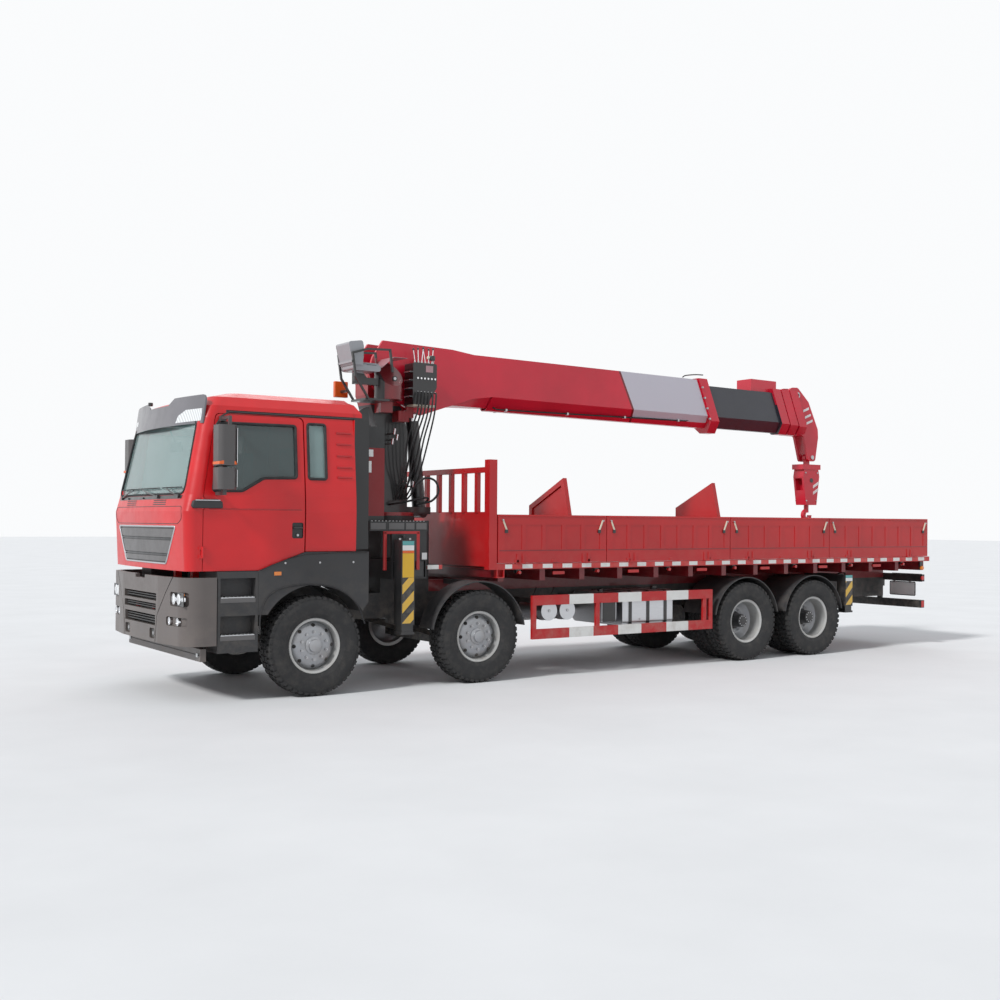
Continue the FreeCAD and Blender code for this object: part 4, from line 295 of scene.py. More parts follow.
MAT = {
    "cab_red": coated("cab_red", RED_CAB, 0.30, coat=0.15, dust=0.12, dust_top=1.5, areas=CAB_AREAS),
    "door_red": coated("door_red", RED_CAB, 0.30, coat=0.15, dust=0.12, dust_top=1.5, areas=DOOR_AREAS),
    "bed_red": coated("bed_red", RED_BED, 0.36, coat=0.2, dust=0.25, dust_top=2.0),
    "floor_red": coated("floor_red", RED_BED, 0.4, coat=0.4, dust=0.25, dust_top=2.0,
                        # painted shade: the red bearers under the floor are darkened to deep red to stand for their
                        # shadow
                        areas=((DEEP_RED, (), {"z": (0.0, 1.32), "wide": (0.0, 1.192)}),)),
    "crimson": coated("crimson", CRIMSON, 0.30, coat=0.3, dust=0.0),
    "boom_base": coated("boom_base", CRIMSON, 0.30, coat=0.3, dust=0.0, areas=BAND_AREAS),
    "boom_two": coated("boom_two", NAVY, 0.34, coat=0.5, dust=0.0, areas=SECOND_AREAS),
    "column_red": coated("column_red", (0.30, 0.006, 0.012), 0.32, coat=0.5, dust=0.0, areas=COLUMN_AREAS),
    "guard_red": coated("guard_red", (0.02, 0.02, 0.021), 0.45, coat=0.2, dust=0.6, dust_top=1.3, areas=GUARD_AREAS),
    "dark_red": coated("dark_red", DEEP_RED, 0.35, coat=0.4, dust=0.0),
    "black": coated("black", (0.012, 0.012, 0.013), 0.42, coat=0.2, dust=0.5, dust_top=1.3),
    "satin_black": coated("satin_black", (0.018, 0.018, 0.019), 0.3, coat=0.4, dust=0.1),
    "chassis": coated("chassis", (0.02, 0.02, 0.021), 0.5, coat=0.1, dust=0.8, dust_top=1.3),
    "bumper_grey": coated("bumper_grey", (0.115, 0.098, 0.092), 0.42, coat=0.15, dust=0.3, dust_top=1.2, peel=0.12, areas=seam_areas()),
    "grille_grey": coated("grille_grey", (0.11, 0.105, 0.105), 0.4, coat=0.2, dust=0.1),
    "visor_grey": coated("visor_grey", (0.14, 0.135, 0.15), 0.3, coat=0.3, dust=0.0),
    "mirror_grey": coated("mirror_grey", (0.075, 0.070, 0.070), 0.4, coat=0.2, dust=0.0, peel=0.2),
    "louvre_red": coated("louvre_red", (0.42, 0.008, 0.012), 0.3, coat=0.3, dust=0.0),
    "base_black": coated("base_black", (0.02, 0.02, 0.021), 0.5, coat=0.1, dust=0.8, dust_top=1.3, areas=BASE_AREAS),
    "plastic": coated("plastic", (0.035, 0.035, 0.037), 0.55, coat=0.0, dust=0.3, peel=0.2),
    "seat_grey": coated("seat_grey", (0.30, 0.31, 0.33), 0.6, coat=0.0, dust=0.0, peel=0.25),
    "interior": coated("interior", (0.12, 0.12, 0.125), 0.7, coat=0.0, dust=0.0, peel=0.3),
    # painted highlight: pink stands for sunlit red paint on the column's tilted plate
    "pink": coated("pink", (0.36, 0.20, 0.22), 0.35, coat=0.4, dust=0.0),
    "white": coated("white", (0.75, 0.75, 0.74), 0.4, coat=0.2, dust=0.1),
    "cream": coated("cream", (0.62, 0.58, 0.46), 0.45, coat=0.1, dust=0.1),
    "teal": coated("teal", (0.10, 0.36, 0.36), 0.4, coat=0.2, dust=0.0),
    "yellow": coated("yellow", (0.72, 0.42, 0.02), 0.4, coat=0.2, dust=0.1),
    "tape_red": coated("tape_red", (0.55, 0.01, 0.01), 0.3, coat=0.3, dust=0.1),
    "rim": coated("rim", (0.36, 0.37, 0.39), 0.35, metal=0.6, coat=0.2, dust=0.5, dust_top=1.2),
    "rim_pale": coated("rim_pale", (0.46, 0.46, 0.45), 0.4, metal=0.4, coat=0.1, dust=0.5, dust_top=1.2),
    "aluminium": bare_metal("aluminium", (0.62, 0.63, 0.65), 0.32),
    "steel": bare_metal("steel", (0.50, 0.50, 0.51), 0.35),
    "chrome": bare_metal("chrome", (0.85, 0.85, 0.87), 0.10),
    "rope": bare_metal("rope", (0.20, 0.19, 0.18), 0.5, (60.0, 60.0, 60.0)),
    "hose": rubbery("hose", (0.018, 0.018, 0.02)),
    "tyre": rubbery("tyre"),
    "screen": pane("screen", (0.30, 0.44, 0.43), 0.50),
    "side_glass": pane("side_glass", (0.06, 0.09, 0.09), 0.72),
    "lamp_clear": lens("lamp_clear", (0.75, 0.77, 0.78)),
    "lamp_amber": lens("lamp_amber", (0.80, 0.22, 0.02)),
    "lamp_red": lens("lamp_red", (0.55, 0.01, 0.01)),
    "orange": coated("orange", (0.75, 0.12, 0.01), 0.35, coat=0.3, dust=0.0),
    "leg_stripes": striped("leg_stripes", (0.70, 0.42, 0.04), INK, 0.215, 1.0),
    "edge_tape": striped("edge_tape", (0.52, 0.010, 0.012), PALE_TAPE, 0.30, 0.0),
}


def dress(material, *names):
    """Give CAD nodes a finish."""
    for name in names:
        data = nodes[name].data
        data.materials.clear()
        data.materials.append(MAT[material])


# Building meshes
def frame_of(axis):
    """Two directions square to an axis."""
    axis = axis.normalized()
    helper = X if abs(axis.x) < 0.9 else Z
    first = axis.cross(helper).normalized()
    return first, axis.cross(first)


class Solid:
    """Simple bodies gathered into one mesh, each face with a finish."""

    def __init__(self):
        self.mesh = bmesh.new()
        self.finishes = []

    def index(self, finish):
        if finish not in self.finishes:
            self.finishes.append(finish)
        return self.finishes.index(finish)

    def skin(self, points, faces, finish, bevel=0.0, segments=2):
        corners = [self.mesh.verts.new(point) for point in points]
        slot = self.index(finish)
        made = []
        for face in faces:
            item = self.mesh.faces.new([corners[i] for i in face])
            item.material_index = slot
            made.append(item)
        bmesh.ops.recalc_face_normals(self.mesh, faces=made)
        if bevel:
            edges = [edge for edge in {edge for face in made for edge in face.edges}
                     if len(edge.link_faces) == 2 and edge.calc_face_angle() > 0.5]
            bmesh.ops.bevel(self.mesh, geom=edges, offset=bevel, segments=segments, affect="EDGES", profile=0.5,
                            clamp_overlap=True, material=-1)

    def slab(self, rows, depth, finish, bevel=0.0):
        """A grid of points thickened by a vector."""
        tall, wide = len(rows), len(rows[0])
        front = [Vector(point) for row in rows for point in row]
        half = tall * wide
        points = front + [point + Vector(depth) for point in front]
        faces = []
        for i in range(tall - 1):
            for j in range(wide - 1):
                a, b = i * wide + j, (i + 1) * wide + j
                faces += [(a, a + 1, b + 1, b), (half + b, half + b + 1, half + a + 1, half + a)]
        rim = list(range(wide)) + [i * wide + wide - 1 for i in range(1, tall)]
        rim += [(tall - 1) * wide + j for j in range(wide - 2, -1, -1)] + [i * wide for i in range(tall - 2, 0, -1)]
        faces += [(a, half + a, half + b, b) for a, b in zip(rim, rim[1:] + rim[:1])]
        self.skin(points, faces, finish, bevel)

    def prism(self, outline, axis, start, end, finish, bevel=0.0, segments=2):
        """An outline pushed along an axis: points are (x, z) along y, (y, z) along x, (x, y) along z."""
        def at(point, depth):
            u, v = point
            return {"y": (u, depth, v), "x": (depth, u, v), "z": (u, v, depth)}[axis]
        count = len(outline)
        points = [at(point, start) for point in outline] + [at(point, end) for point in outline]
        faces = [tuple(range(count)), tuple(range(2 * count - 1, count - 1, -1))]
        faces += [(i, (i + 1) % count, count + (i + 1) % count, count + i) for i in range(count)]
        self.skin(points, faces, finish, bevel, segments)

    def box(self, x, y, z, finish, bevel=0.0, segments=2):
        self.prism([(x[0], y[0]), (x[1], y[0]), (x[1], y[1]), (x[0], y[1])], "z", z[0], z[1], finish, bevel, segments)

    def rod(self, start, end, radius, finish, sides=20, bevel=0.0, top=None):
        """A round bar between two points, or a cone where top is another radius."""
        start, end = Vector(start), Vector(end)
        first, second = frame_of(end - start)
        top = radius if top is None else top
        points = []
        for centre, size in ((start, radius), (end, top)):
            for i in range(sides):
                angle = 2 * math.pi * i / sides
                points.append(centre + size * (math.cos(angle) * first + math.sin(angle) * second))
        faces = [tuple(range(sides)), tuple(range(2 * sides - 1, sides - 1, -1))]
        faces += [(i, (i + 1) % sides, sides + (i + 1) % sides, sides + i) for i in range(sides)]
        self.skin(points, faces, finish, bevel)

    def lathe(self, profile, centre, axis, finish, sides=64, closed=True, colors=None):
        """A profile of (radius, distance along the axis) turned about the axis; colors name a finish for each span."""
        axis = AXES[axis] if isinstance(axis, str) else axis
        first, second = frame_of(axis)
        centre = Vector(centre)
        rings = []
        for radius, along in profile:
            ring = []
            for i in range(sides):
                angle = 2 * math.pi * i / sides
                ring.append(self.mesh.verts.new(centre + along * axis + radius * (math.cos(angle) * first + math.sin(angle) * second)))
            rings.append(ring)
        spans = len(profile) if closed else len(profile) - 1
        made = []
        for j in range(spans):
            near, far = rings[j], rings[(j + 1) % len(profile)]
            slot = self.index(colors[j] if colors else finish)
            for i in range(sides):
                item = self.mesh.faces.new((near[i], near[(i + 1) % sides], far[(i + 1) % sides], far[i]))
                item.material_index = slot
                made.append(item)
        if not closed:
            for ring, slot in ((rings[0], 0), (rings[-1], -1)):
                item = self.mesh.faces.new(ring)
                item.material_index = self.index(colors[slot] if colors else finish)
                made.append(item)
        bmesh.ops.recalc_face_normals(self.mesh, faces=made)

    def pipe(self, path, radius, finish, sides=10, closed=False):
        """A round section along a smooth run of points."""
        path = [Vector(point) for point in path]
        rings = []
        side = None
        count = len(path)
        for i, point in enumerate(path):
            ahead = path[(i + 1) % count] if closed or i < count - 1 else path[i]
            behind = path[i - 1] if closed or i > 0 else path[i]
            way = (ahead - behind).normalized()
            if side is None:
                side = frame_of(way)[0]
            side = (side - way * side.dot(way)).normalized()
            other = way.cross(side)
            rings.append([self.mesh.verts.new(point + radius * (math.cos(2 * math.pi * k / sides) * side + math.sin(2 * math.pi * k / sides) * other))
                          for k in range(sides)])
        slot = self.index(finish)
        made = []
        for j in range(count if closed else count - 1):
            near, far = rings[j], rings[(j + 1) % count]
            for i in range(sides):
                made.append(self.mesh.faces.new((near[i], near[(i + 1) % sides], far[(i + 1) % sides], far[i])))
        if not closed:
            made += [self.mesh.faces.new(rings[0]), self.mesh.faces.new(rings[-1])]
        for item in made:
            item.material_index = slot
        bmesh.ops.recalc_face_normals(self.mesh, faces=made)

    def done(self, name, body, *replaced, sharp=38.0, flip=False):
        """Make the object, on its body; flip makes the same piece for the other side of the vehicle."""
        data = bpy.data.meshes.new(name)
        self.mesh.to_mesh(data)
        if flip:
            data.transform(Matrix.Scale(-1, 4, Y))
            data.flip_normals()
        for finish in self.finishes:
            data.materials.append(MAT[finish])
        for polygon in data.polygons:
            polygon.use_smooth = True
        data.set_sharp_from_angle(angle=math.radians(sharp))
        piece = bpy.data.objects.new(name, data)
        bpy.context.scene.collection.objects.link(piece)
        weighted = piece.modifiers.new("weighted", "WEIGHTED_NORMAL")
        weighted.keep_sharp = True
        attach(piece, body)
        if replaced:
            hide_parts(*replaced)
        return piece


def arc(centre, radius, start, end, count):
    """Points of an arc in degrees, from the u axis towards the v axis."""
    return [(centre[0] + radius * math.cos(math.radians(start + (end - start) * i / count)),
             centre[1] + radius * math.sin(math.radians(start + (end - start) * i / count))) for i in range(count + 1)]


def smooth_path(points, steps=6):
    """Catmull-Rom run through points."""
    points = [Vector(point) for point in points]
    padded = [2 * points[0] - points[1]] + points + [2 * points[-1] - points[-2]]
    run = []
    for a, b, c, d in zip(padded, padded[1:], padded[2:], padded[3:]):
        for i in range(steps):
            t = i / steps
            run.append(0.5 * ((2 * b) + (c - a) * t + (2 * a - 5 * b + 4 * c - d) * t * t + (3 * b - a - 3 * c + d) * t ** 3))
    run.append(points[-1])
    return run


# Wheels
AXLE_X = {"one": 4.490, "two": 2.390, "three": -2.010, "four": -3.360}
WHEEL_Y, WHEEL_Z, TYRE_R, TYRE_W, TWIN = 1.100, 0.542, 0.542, 0.296, 0.343
TREAD_DEEP = 0.016


def tyre(solid, x, y, outward):
    """Carcass with a moulded side wall, and shoulder and centre blocks all round."""
    base = TYRE_R - TREAD_DEEP
    half = TYRE_W / 2
    side = [(0.2843, 0.099), (0.3025, 0.0995), (0.304, 0.118), (0.318, 0.128), (0.345, 0.139), (0.352, 0.1425), (0.362, 0.1412),
            (0.395, 0.1465), (0.425, 0.148), (0.445, 0.1465), (0.452, 0.1475), (0.460, 0.1462), (0.490, 0.1425), (0.508, 0.137), (base, 0.126)]
    profile = side + [(base, 0.0)] + [(radius, -along) for radius, along in side[::-1]]
    solid.lathe(profile, (x, y, WHEEL_Z), "y", "tyre", sides=72)
    blocks = 46
    for i in range(blocks):
        turn = 2 * math.pi * i / blocks
        for low, high, shift, share in ((0.072, half - 0.004, 0.0, 0.70), (-half + 0.004, -0.072, 0.0, 0.70),
                                        (0.012, 0.062, 0.35, 0.74), (-0.062, -0.012, 0.35, 0.74)):
            wide = 2 * math.pi / blocks * share / 2
            mid = turn + shift * 2 * math.pi / blocks
            points = []
            for radius, shrink in ((base - 0.012, 1.0), (TYRE_R - 0.0005, 0.9)):
                for angle, along in ((mid - wide * shrink, low), (mid + wide * shrink, low), (mid + wide * shrink, high), (mid - wide * shrink, high)):
                    edge = radius if abs(along) < 0.1 else radius - 0.012
                    points.append((x + edge * math.cos(angle), y + along, WHEEL_Z + edge * math.sin(angle)))
            solid.skin(points, [(0, 1, 2, 3), (7, 6, 5, 4), (0, 4, 5, 1), (1, 5, 6, 2), (2, 6, 7, 3), (3, 7, 4, 0)], "tyre")


def ring_of_nuts(solid, x, y, outward, radius, count, size, high, finish):
    for i in range(count):
        angle = 2 * math.pi * (i + 0.5) / count
        place = Vector((x + radius * math.cos(angle), y, WHEEL_Z + radius * math.sin(angle)))
        solid.rod(place, place + Y * outward * high, size, finish, 6)
        solid.rod(place, place + Y * outward * (high + 0.018), size * 0.45, "steel", 8)


def front_rim(solid, x, y):
    """Steel disc wheel that bulges outward, with hand holes, nuts and a hub cap."""
    band = [(0.272, -0.112), (0.302, -0.112), (0.302, -0.100), (0.284, -0.100), (0.284, 0.100), (0.302, 0.100), (0.302, 0.112),
            (0.296, 0.117), (0.288, 0.112), (0.272, 0.108), (0.262, 0.060), (0.262, -0.112)]
    solid.lathe(band, (x, y, WHEEL_Z), "y", "rim_pale", 72)
    disc = [(0.096, 0.064), (0.200, 0.054), (0.235, 0.034), (0.263, 0.012), (0.263, 0.026), (0.240, 0.050), (0.212, 0.072), (0.185, 0.082),
            (0.150, 0.088), (0.096, 0.088)]
    solid.lathe(disc, (x, y, WHEEL_Z), "y", "rim", 72)
    hub = [(0.0, 0.060), (0.098, 0.060), (0.098, 0.096), (0.090, 0.104), (0.072, 0.108), (0.066, 0.134), (0.054, 0.140), (0.0, 0.142)]
    solid.lathe(hub, (x, y, WHEEL_Z), "y", "rim", 36, closed=False)
    ring_of_nuts(solid, x, y + 0.084, 1, 0.150, 10, 0.016, 0.022, "steel")
    for i in range(8):
        angle = 2 * math.pi * i / 8
        place = Vector((x + 0.222 * math.cos(angle), y + 0.066, WHEEL_Z + 0.222 * math.sin(angle)))
        out = Vector((math.cos(angle), 0.9, math.sin(angle))).normalized()
        solid.rod(place - out * 0.010, place + out * 0.0045, 0.021, "black", 16)


def twin_rims(solid, x, y):
    """Two bands with the outer disc dished deep inward, and the axle's hub in the middle."""
    for shift in (0.0, -TWIN):
        band = [(0.272, -0.112), (0.302, -0.112), (0.302, -0.100), (0.284, -0.100), (0.284, 0.100), (0.302, 0.100), (0.302, 0.112),
                (0.294, 0.118), (0.284, 0.112), (0.270, 0.104), (0.262, 0.060), (0.262, -0.112)]
        solid.lathe(band, (x, y + shift, WHEEL_Z), "y", "rim_pale", 72)
    middle = -TWIN / 2
    disc = [(0.120, middle + 0.012), (0.190, middle + 0.012), (0.232, middle + 0.045), (0.263, middle + 0.082), (0.263, middle + 0.098),
            (0.236, middle + 0.066), (0.200, middle + 0.030), (0.186, middle + 0.024), (0.120, middle + 0.024)]
    solid.lathe(disc, (x, y, WHEEL_Z), "y", "rim", 72)
    solid.lathe([(radius, 2 * middle - along) for radius, along in disc], (x, y, WHEEL_Z), "y", "rim", 72)
    hub = [(0.0, middle - 0.10), (0.122, middle - 0.10), (0.122, middle + 0.050), (0.112, middle + 0.064), (0.100, middle + 0.066),
           (0.092, 0.020), (0.084, 0.044), (0.060, 0.050), (0.0, 0.050)]
    solid.lathe(hub, (x, y, WHEEL_Z), "y", "satin_black", 40, closed=False)
    ring_of_nuts(solid, x, y + middle + 0.024, 1, 0.158, 10, 0.016, 0.024, "steel")
    for i in range(10):
        angle = 2 * math.pi * i / 10
        place = Vector((x + 0.066 * math.cos(angle), y + 0.044, WHEEL_Z + 0.066 * math.sin(angle)))
        solid.rod(place, place + Y * 0.008, 0.008, "steel", 6)


def make_wheels():
    for name in ("one", "two"):
        for side, sign in SIDES:
            rubber, metal = Solid(), Solid()
            tyre(rubber, AXLE_X[name], WHEEL_Y, 1)
            front_rim(metal, AXLE_X[name], WHEEL_Y)
            body = "wheel_%s_%s" % (name, side)
            rubber.done("tread_%s_%s" % (name, side), body, "tyre_%s_%s" % (name, side), flip=sign < 0)
            metal.done("disc_%s_%s" % (name, side), body, "rim_%s_%s" % (name, side), flip=sign < 0)
    for name in ("three", "four"):
        for side, sign in SIDES:
            rubber, metal = Solid(), Solid()
            tyre(rubber, AXLE_X[name], WHEEL_Y, 1)
            tyre(rubber, AXLE_X[name], WHEEL_Y - TWIN, 1)
            twin_rims(metal, AXLE_X[name], WHEEL_Y)
            body = "wheel_%s_%s" % (name, side)
            rubber.done("tread_%s_%s" % (name, side), body, "tyres_%s_%s" % (name, side), flip=sign < 0)
            metal.done("disc_%s_%s" % (name, side), body, "rims_%s_%s" % (name, side), flip=sign < 0)


# Cab
CAB_ROWS = ((1.366, 5.910, 1.215, 0.100), (1.980, 5.935, 1.228, 0.100), (2.150, 5.900, 1.222, 0.140), (2.950, 5.735, 1.150, 0.130),
            (3.080, 5.690, 1.130, 0.130), (3.180, 5.600, 1.050, 0.130), (3.240, 5.350, 0.900, 0.130))
BOW = 0.045


def cab_row(z):
    """Front, half width and corner radius of the cab at a height."""
    for low, high in zip(CAB_ROWS, CAB_ROWS[1:]):
        if z <= high[0]:
            break
    share = (z - low[0]) / (high[0] - low[0])
    return [first + (second - first) * share for first, second in zip(low[1:], high[1:])]


def cab_front(y, z):
    front, half, radius = cab_row(z)
    corner = half - radius
    if abs(y) <= corner:
        reach = (corner ** 2 + BOW ** 2) / (2 * BOW)
        return front + BOW - reach + math.sqrt(reach * reach - y * y)
    return front - radius + math.sqrt(max(radius ** 2 - (abs(y) - corner) ** 2, 0.0))


def cab_side(z):
    return cab_row(z)[1]


def rounded(points, radius, steps=5):
    """An outline with its corners rounded."""
    run = []
    count = len(points)
    for i in range(count):
        before, corner, after = (Vector(points[(i + k) % count]) for k in (-1, 0, 1))
        start = corner + (before - corner).normalized() * radius
        end = corner + (after - corner).normalized() * radius
        for k in range(steps + 1):
            t = k / steps
            run.append((1 - t) ** 2 * start + 2 * t * (1 - t) * corner + t * t * end)
    return run


def on_front(outline, out=0.0, gap=0.12):
    """A closed outline of (y, z) laid on the cab's front."""
    path = []
    for start, end in zip(outline, outline[1:] + outline[:1]):
        pieces = max(1, math.ceil((end - start).length / gap))
        for k in range(pieces):
            y, z = start + (end - start) * (k / pieces)
            path.append((cab_front(y, z) + out, y, z))
    return path


def front_panel(solid, widths, out, deep, finish, bevel=0.0, columns=16):
    """A panel on the cab's front; widths are (z, lowest y, highest y) rows."""
    rows = [[(cab_front(low + (high - low) * j / columns, z) + out, low + (high - low) * j / columns, z) for j in range(columns + 1)]
            for z, low, high in widths]
    solid.slab(rows, (-deep, 0, 0), finish, bevel)


def grille_half(z):
    return 0.635 + 0.7 * (z - 1.366)


def visor_front(y, z):
    """Front of the sun visor, which bows 120 mm."""
    half, bow = 1.120, 0.120
    reach = (half ** 2 + bow ** 2) / (2 * bow)
    return 5.730 - 0.147 * (z - 2.890) + bow - reach + math.sqrt(reach * reach - y * y)


def make_cab():
    face = Solid()
    for low, high in ((1.446, 1.516), (1.534, 1.682), (1.700, 1.804)):
        front_panel(face, [(z, 0.022 - grille_half(z), grille_half(z) - 0.022) for z in (low + 0.006, high - 0.006)], -0.002, 0.011, "grille_grey", 0.003)
    rim = rounded([(-grille_half(1.432), 1.432), (grille_half(1.432), 1.432), (grille_half(1.822), 1.822), (-grille_half(1.822), 1.822)], 0.03)
    face.pipe(on_front(rim, 0.001), 0.009, "aluminium", 8, True)
    screen = rounded([(-1.085, 2.160), (1.085, 2.160), (1.010, 2.935), (-1.010, 2.935)], 0.10, 8)
    face.pipe(on_front(screen, -0.002), 0.013, "hose", 8, True)
    for z in (2.052, 2.074, 2.096):
        for sign in (1, -1):
            edges = sorted((sign * 0.30, sign * 0.66))
            front_panel(face, [(z - 0.005, *edges), (z + 0.005, *edges)], 0.002, 0.008, "black")
    hatch = [(-1.118, 1.905), (-1.10, 2.030), (1.10, 2.030), (1.118, 1.905), (1.02, 1.850), (-1.02, 1.850)]
    face.pipe(on_front(rounded(hatch, 0.04), 0.0005), 0.0032, "black", 6, True)
    front_panel(face, [(2.108, -1.04, 1.04), (2.146, -1.06, 1.06)], 0.003, 0.010, "satin_black", 0.002)
    for y in (-0.62, -0.05, 0.45):
        face.rod((cab_front(y, 2.10) - 0.01, y, 2.118), (cab_front(y, 2.10) + 0.010, y, 2.128), 0.009, "black", 10, 0.002)
    for pivot, tip, blade in ((0.42, -0.10, (-0.80, 0.42)), (-0.91, -0.45, (-0.98, -0.15)), (0.98, 0.66, (0.50, 1.02))):
        z_low, z_high = 2.135, 2.215
        start = Vector((cab_front(pivot, z_low) + 0.012, pivot, z_low))
        face.rod(start - 0.03 * X, start + 0.012 * X, 0.020, "satin_black", 16, 0.004)
        end = Vector((cab_front(tip, z_high) + 0.020, tip, z_high))
        face.pipe(smooth_path([start, start.lerp(end, 0.5) + 0.012 * X, end], 5), 0.0075, "satin_black", 8)
        run = [(cab_front(y, z_high + 0.012) + 0.010, y, z_high + 0.012) for y in (blade[0] + (blade[1] - blade[0]) * k / 8 for k in range(9))]
        face.pipe(run, 0.006, "hose", 6)
    face.done("cab_face", "cab")
    for side, sign in SIDES:
        trim = Solid()
        pod = [(5.545, 2.012), (5.858, 2.010), (5.872, 2.035), (5.860, 2.085), (5.82, 2.100), (5.60, 2.104), (5.552, 2.080)]
        trim.prism(pod, "y", 1.205, 1.262, "plastic", 0.012, 3)
        trim.box((5.58, 5.84), (1.2605, 1.2645), (2.088, 2.098), "aluminium", 0.002)
        quarter = rounded([(4.363, 2.340), (4.570, 2.340), (4.570, 2.935), (4.363, 2.935)], 0.03)
        trim.pipe([(x, cab_side(z) + 0.001, z) for x, z in quarter], 0.015, "hose", 8, True)
        for z in (2.850, 2.727, 2.600, 2.474, 2.365):
            trim.pipe([(4.055, cab_side(z) + 0.001, z), (4.14, cab_side(z) + 0.004, z), (4.235, cab_side(z) + 0.001, z)], 0.011, "louvre_red", 8)
        trim.pipe([(x, cab_side(3.018) + 0.004, 3.018) for x in (4.02, 4.4, 4.8, 5.2, 5.45)] + [(5.53, cab_side(2.98) + 0.004, 2.97), (5.60, cab_side(2.9) + 0.002, 2.86)], 0.009, "satin_black", 8)
        trim.done("cab_trim_" + side, "cab", flip=sign < 0)
        leaf = Solid()
        window = rounded([(5.640, 2.190), (5.560, 2.900), (4.712, 2.905), (4.712, 2.345), (5.083, 2.335), (5.323, 2.195)], 0.03)
        path = []
        for start, end in zip(window, window[1:] + window[:1]):
            for k in range(4):
                x, z = start + (end - start) * (k / 4)
                path.append((x, cab_side(z) + 0.0005, z))
        leaf.pipe(path, 0.015, "hose", 8, True)
        leaf.pipe(smooth_path([(4.648, 1.205, 1.812), (4.665, 1.238, 1.814), (4.704, 1.243, 1.814), (4.743, 1.238, 1.814), (4.760, 1.205, 1.812)], 4), 0.011, "satin_black", 10)
        leaf.rod((4.704, 1.19, 1.735), (4.704, 1.2285, 1.735), 0.014, "steel", 16, 0.003)
        leaf.box((4.66, 5.68), (1.221, 1.2325), (1.996, 2.012), "louvre_red", 0.005)
        leaf.box((5.5165, 5.522), (1.350, 1.562), (2.470, 2.820), "chrome", 0.002)
        leaf.box((5.5165, 5.522), (1.350, 1.562), (2.225, 2.398), "chrome", 0.002)
        leaf.prism([(5.530, 2.450), (5.712, 2.450), (5.712, 2.478), (5.650, 2.496), (5.545, 2.486)], "y", 1.574, 1.5897, "orange", 0.004)
        leaf.box((5.690, 5.7175), (1.40, 1.589), (2.450, 2.480), "orange", 0.004)
        leaf.done("door_trim_" + side, "door_" + side, flip=sign < 0)
    inside = Solid()
    inside.box((5.45, 5.475), (-0.62, -0.24), (2.665, 2.775), "satin_black", 0.010)
    inside.rod((5.47, -0.43, 2.77), (5.54, -0.43, 2.90), 0.010, "satin_black", 10)
    inside.box((5.66, 5.668), (0.62, 0.94), (2.335, 2.495), "white", 0.003)
    inside.done("cab_fittings", "cab")
    shade = Solid()
    for widths in (((2.915, 0.56, 1.09), (2.99, 0.60, 1.09), (3.045, 0.76, 1.08)), ((2.965, -1.03, -0.88), (3.025, -1.03, -0.90))):
        shade.slab([[(visor_front(low + (high - low) * j / 6, z) + 0.003, low + (high - low) * j / 6, z) for j in range(7)] for z, low, high in widths], (-0.009, 0, 0), "lamp_clear", 0.002)
    shade.rod((5.792, -0.35, 3.165), (5.792, -0.35, 3.205), 0.026, "satin_black", 16, 0.006)
    for y in (-0.98, -0.72, 0.72, 0.98):
        shade.rod((5.700, y, 2.965), (5.748, y, 2.965), 0.012, "steel", 8, 0.002)
    shade.done("visor_fittings", "cab")


# Front bumper
def bumper_face(y):
    """Front of the bumper at a distance from the middle."""
    wide = abs(y)
    return 6.0 if wide < 0.6 else 6.0 - 0.075 * (wide - 0.6) / 0.645


def make_front():
    whole = Solid()
    for low, high, half, bars in ((1.036, 1.115, 0.545, 2), (0.935, 1.006, 0.535, 2), (0.775, 0.885, 0.515, 3)):
        for k in range(bars):
            z = low + (high - low) * (k + 1) / (bars + 1)
            whole.box((5.930, 5.975), (-half, half), (z - 0.007, z + 0.007), "plastic", 0.003)
        whole.box((5.880, 5.900), (-half - 0.02, half + 0.02), (low - 0.02, high + 0.02), "black")
    whole.box((5.9935, 5.9985), (-0.26, 0.26), (0.648, 0.742), "plastic", 0.003)
    whole.pipe([(5.752, y, 0.505) for y in (-1.15, -0.6, 0.0, 0.6, 1.15)], 0.006, "black", 6)
    whole.done("bumper_grille", "chassis")
    for side, sign in SIDES:
        lamp = Solid()
        back = 5.925
        lamp.box((back, back + 0.006), (0.895, 1.190), (1.008, 1.147), "satin_black")
        for y, radius in ((0.955, 0.054), (1.068, 0.054), (1.150, 0.030)):
            face = bumper_face(y) - 0.030
            cup = [(radius, 0.030), (radius * 1.06, 0.030), (radius * 1.06, 0.004), (radius * 0.3, 0.002), (radius * 0.3, 0.008), (radius * 0.9, 0.024)]
            lamp.lathe(cup, (face - 0.006, y, 1.078), "x", "chrome", 28)
            lamp.lathe([(0.0, 0.020), (radius * 0.98, 0.022), (radius * 0.98, 0.028), (radius * 0.5, 0.034), (0.0, 0.036)], (face - 0.006, y, 1.078), "x", "lamp_clear", 28, closed=False)
        lamp.box((bumper_face(1.1) - 0.026, bumper_face(1.1) - 0.012), (1.110, 1.188), (1.115, 1.143), "lamp_amber", 0.004)
        for y in (0.862, 1.050):
            radius = 0.034
            face = bumper_face(y) - 0.022
            lamp.lathe([(radius, 0.0), (radius * 1.18, 0.0), (radius * 1.18, 0.022), (radius, 0.022)], (face - 0.004, y, 0.847), "x", "chrome", 24)
            lamp.lathe([(0.0, 0.0), (radius, 0.0), (radius, 0.012), (radius * 0.5, 0.018), (0.0, 0.020)], (face - 0.004, y, 0.847), "x", "lamp_clear", 24, closed=False)
        lamp.box((5.972, 5.984), (0.352, 0.498), (0.645, 0.732), "black", 0.004)
        lamp.rod((5.975, 0.425, 0.690), (5.990, 0.425, 0.690), 0.022, "steel", 20, 0.003)
        lamp.box((5.748, 5.765), (1.10, 1.14), (0.485, 0.525), "lamp_clear", 0.004)
        lamp.done("head_lamps_" + side, "chassis", flip=sign < 0)


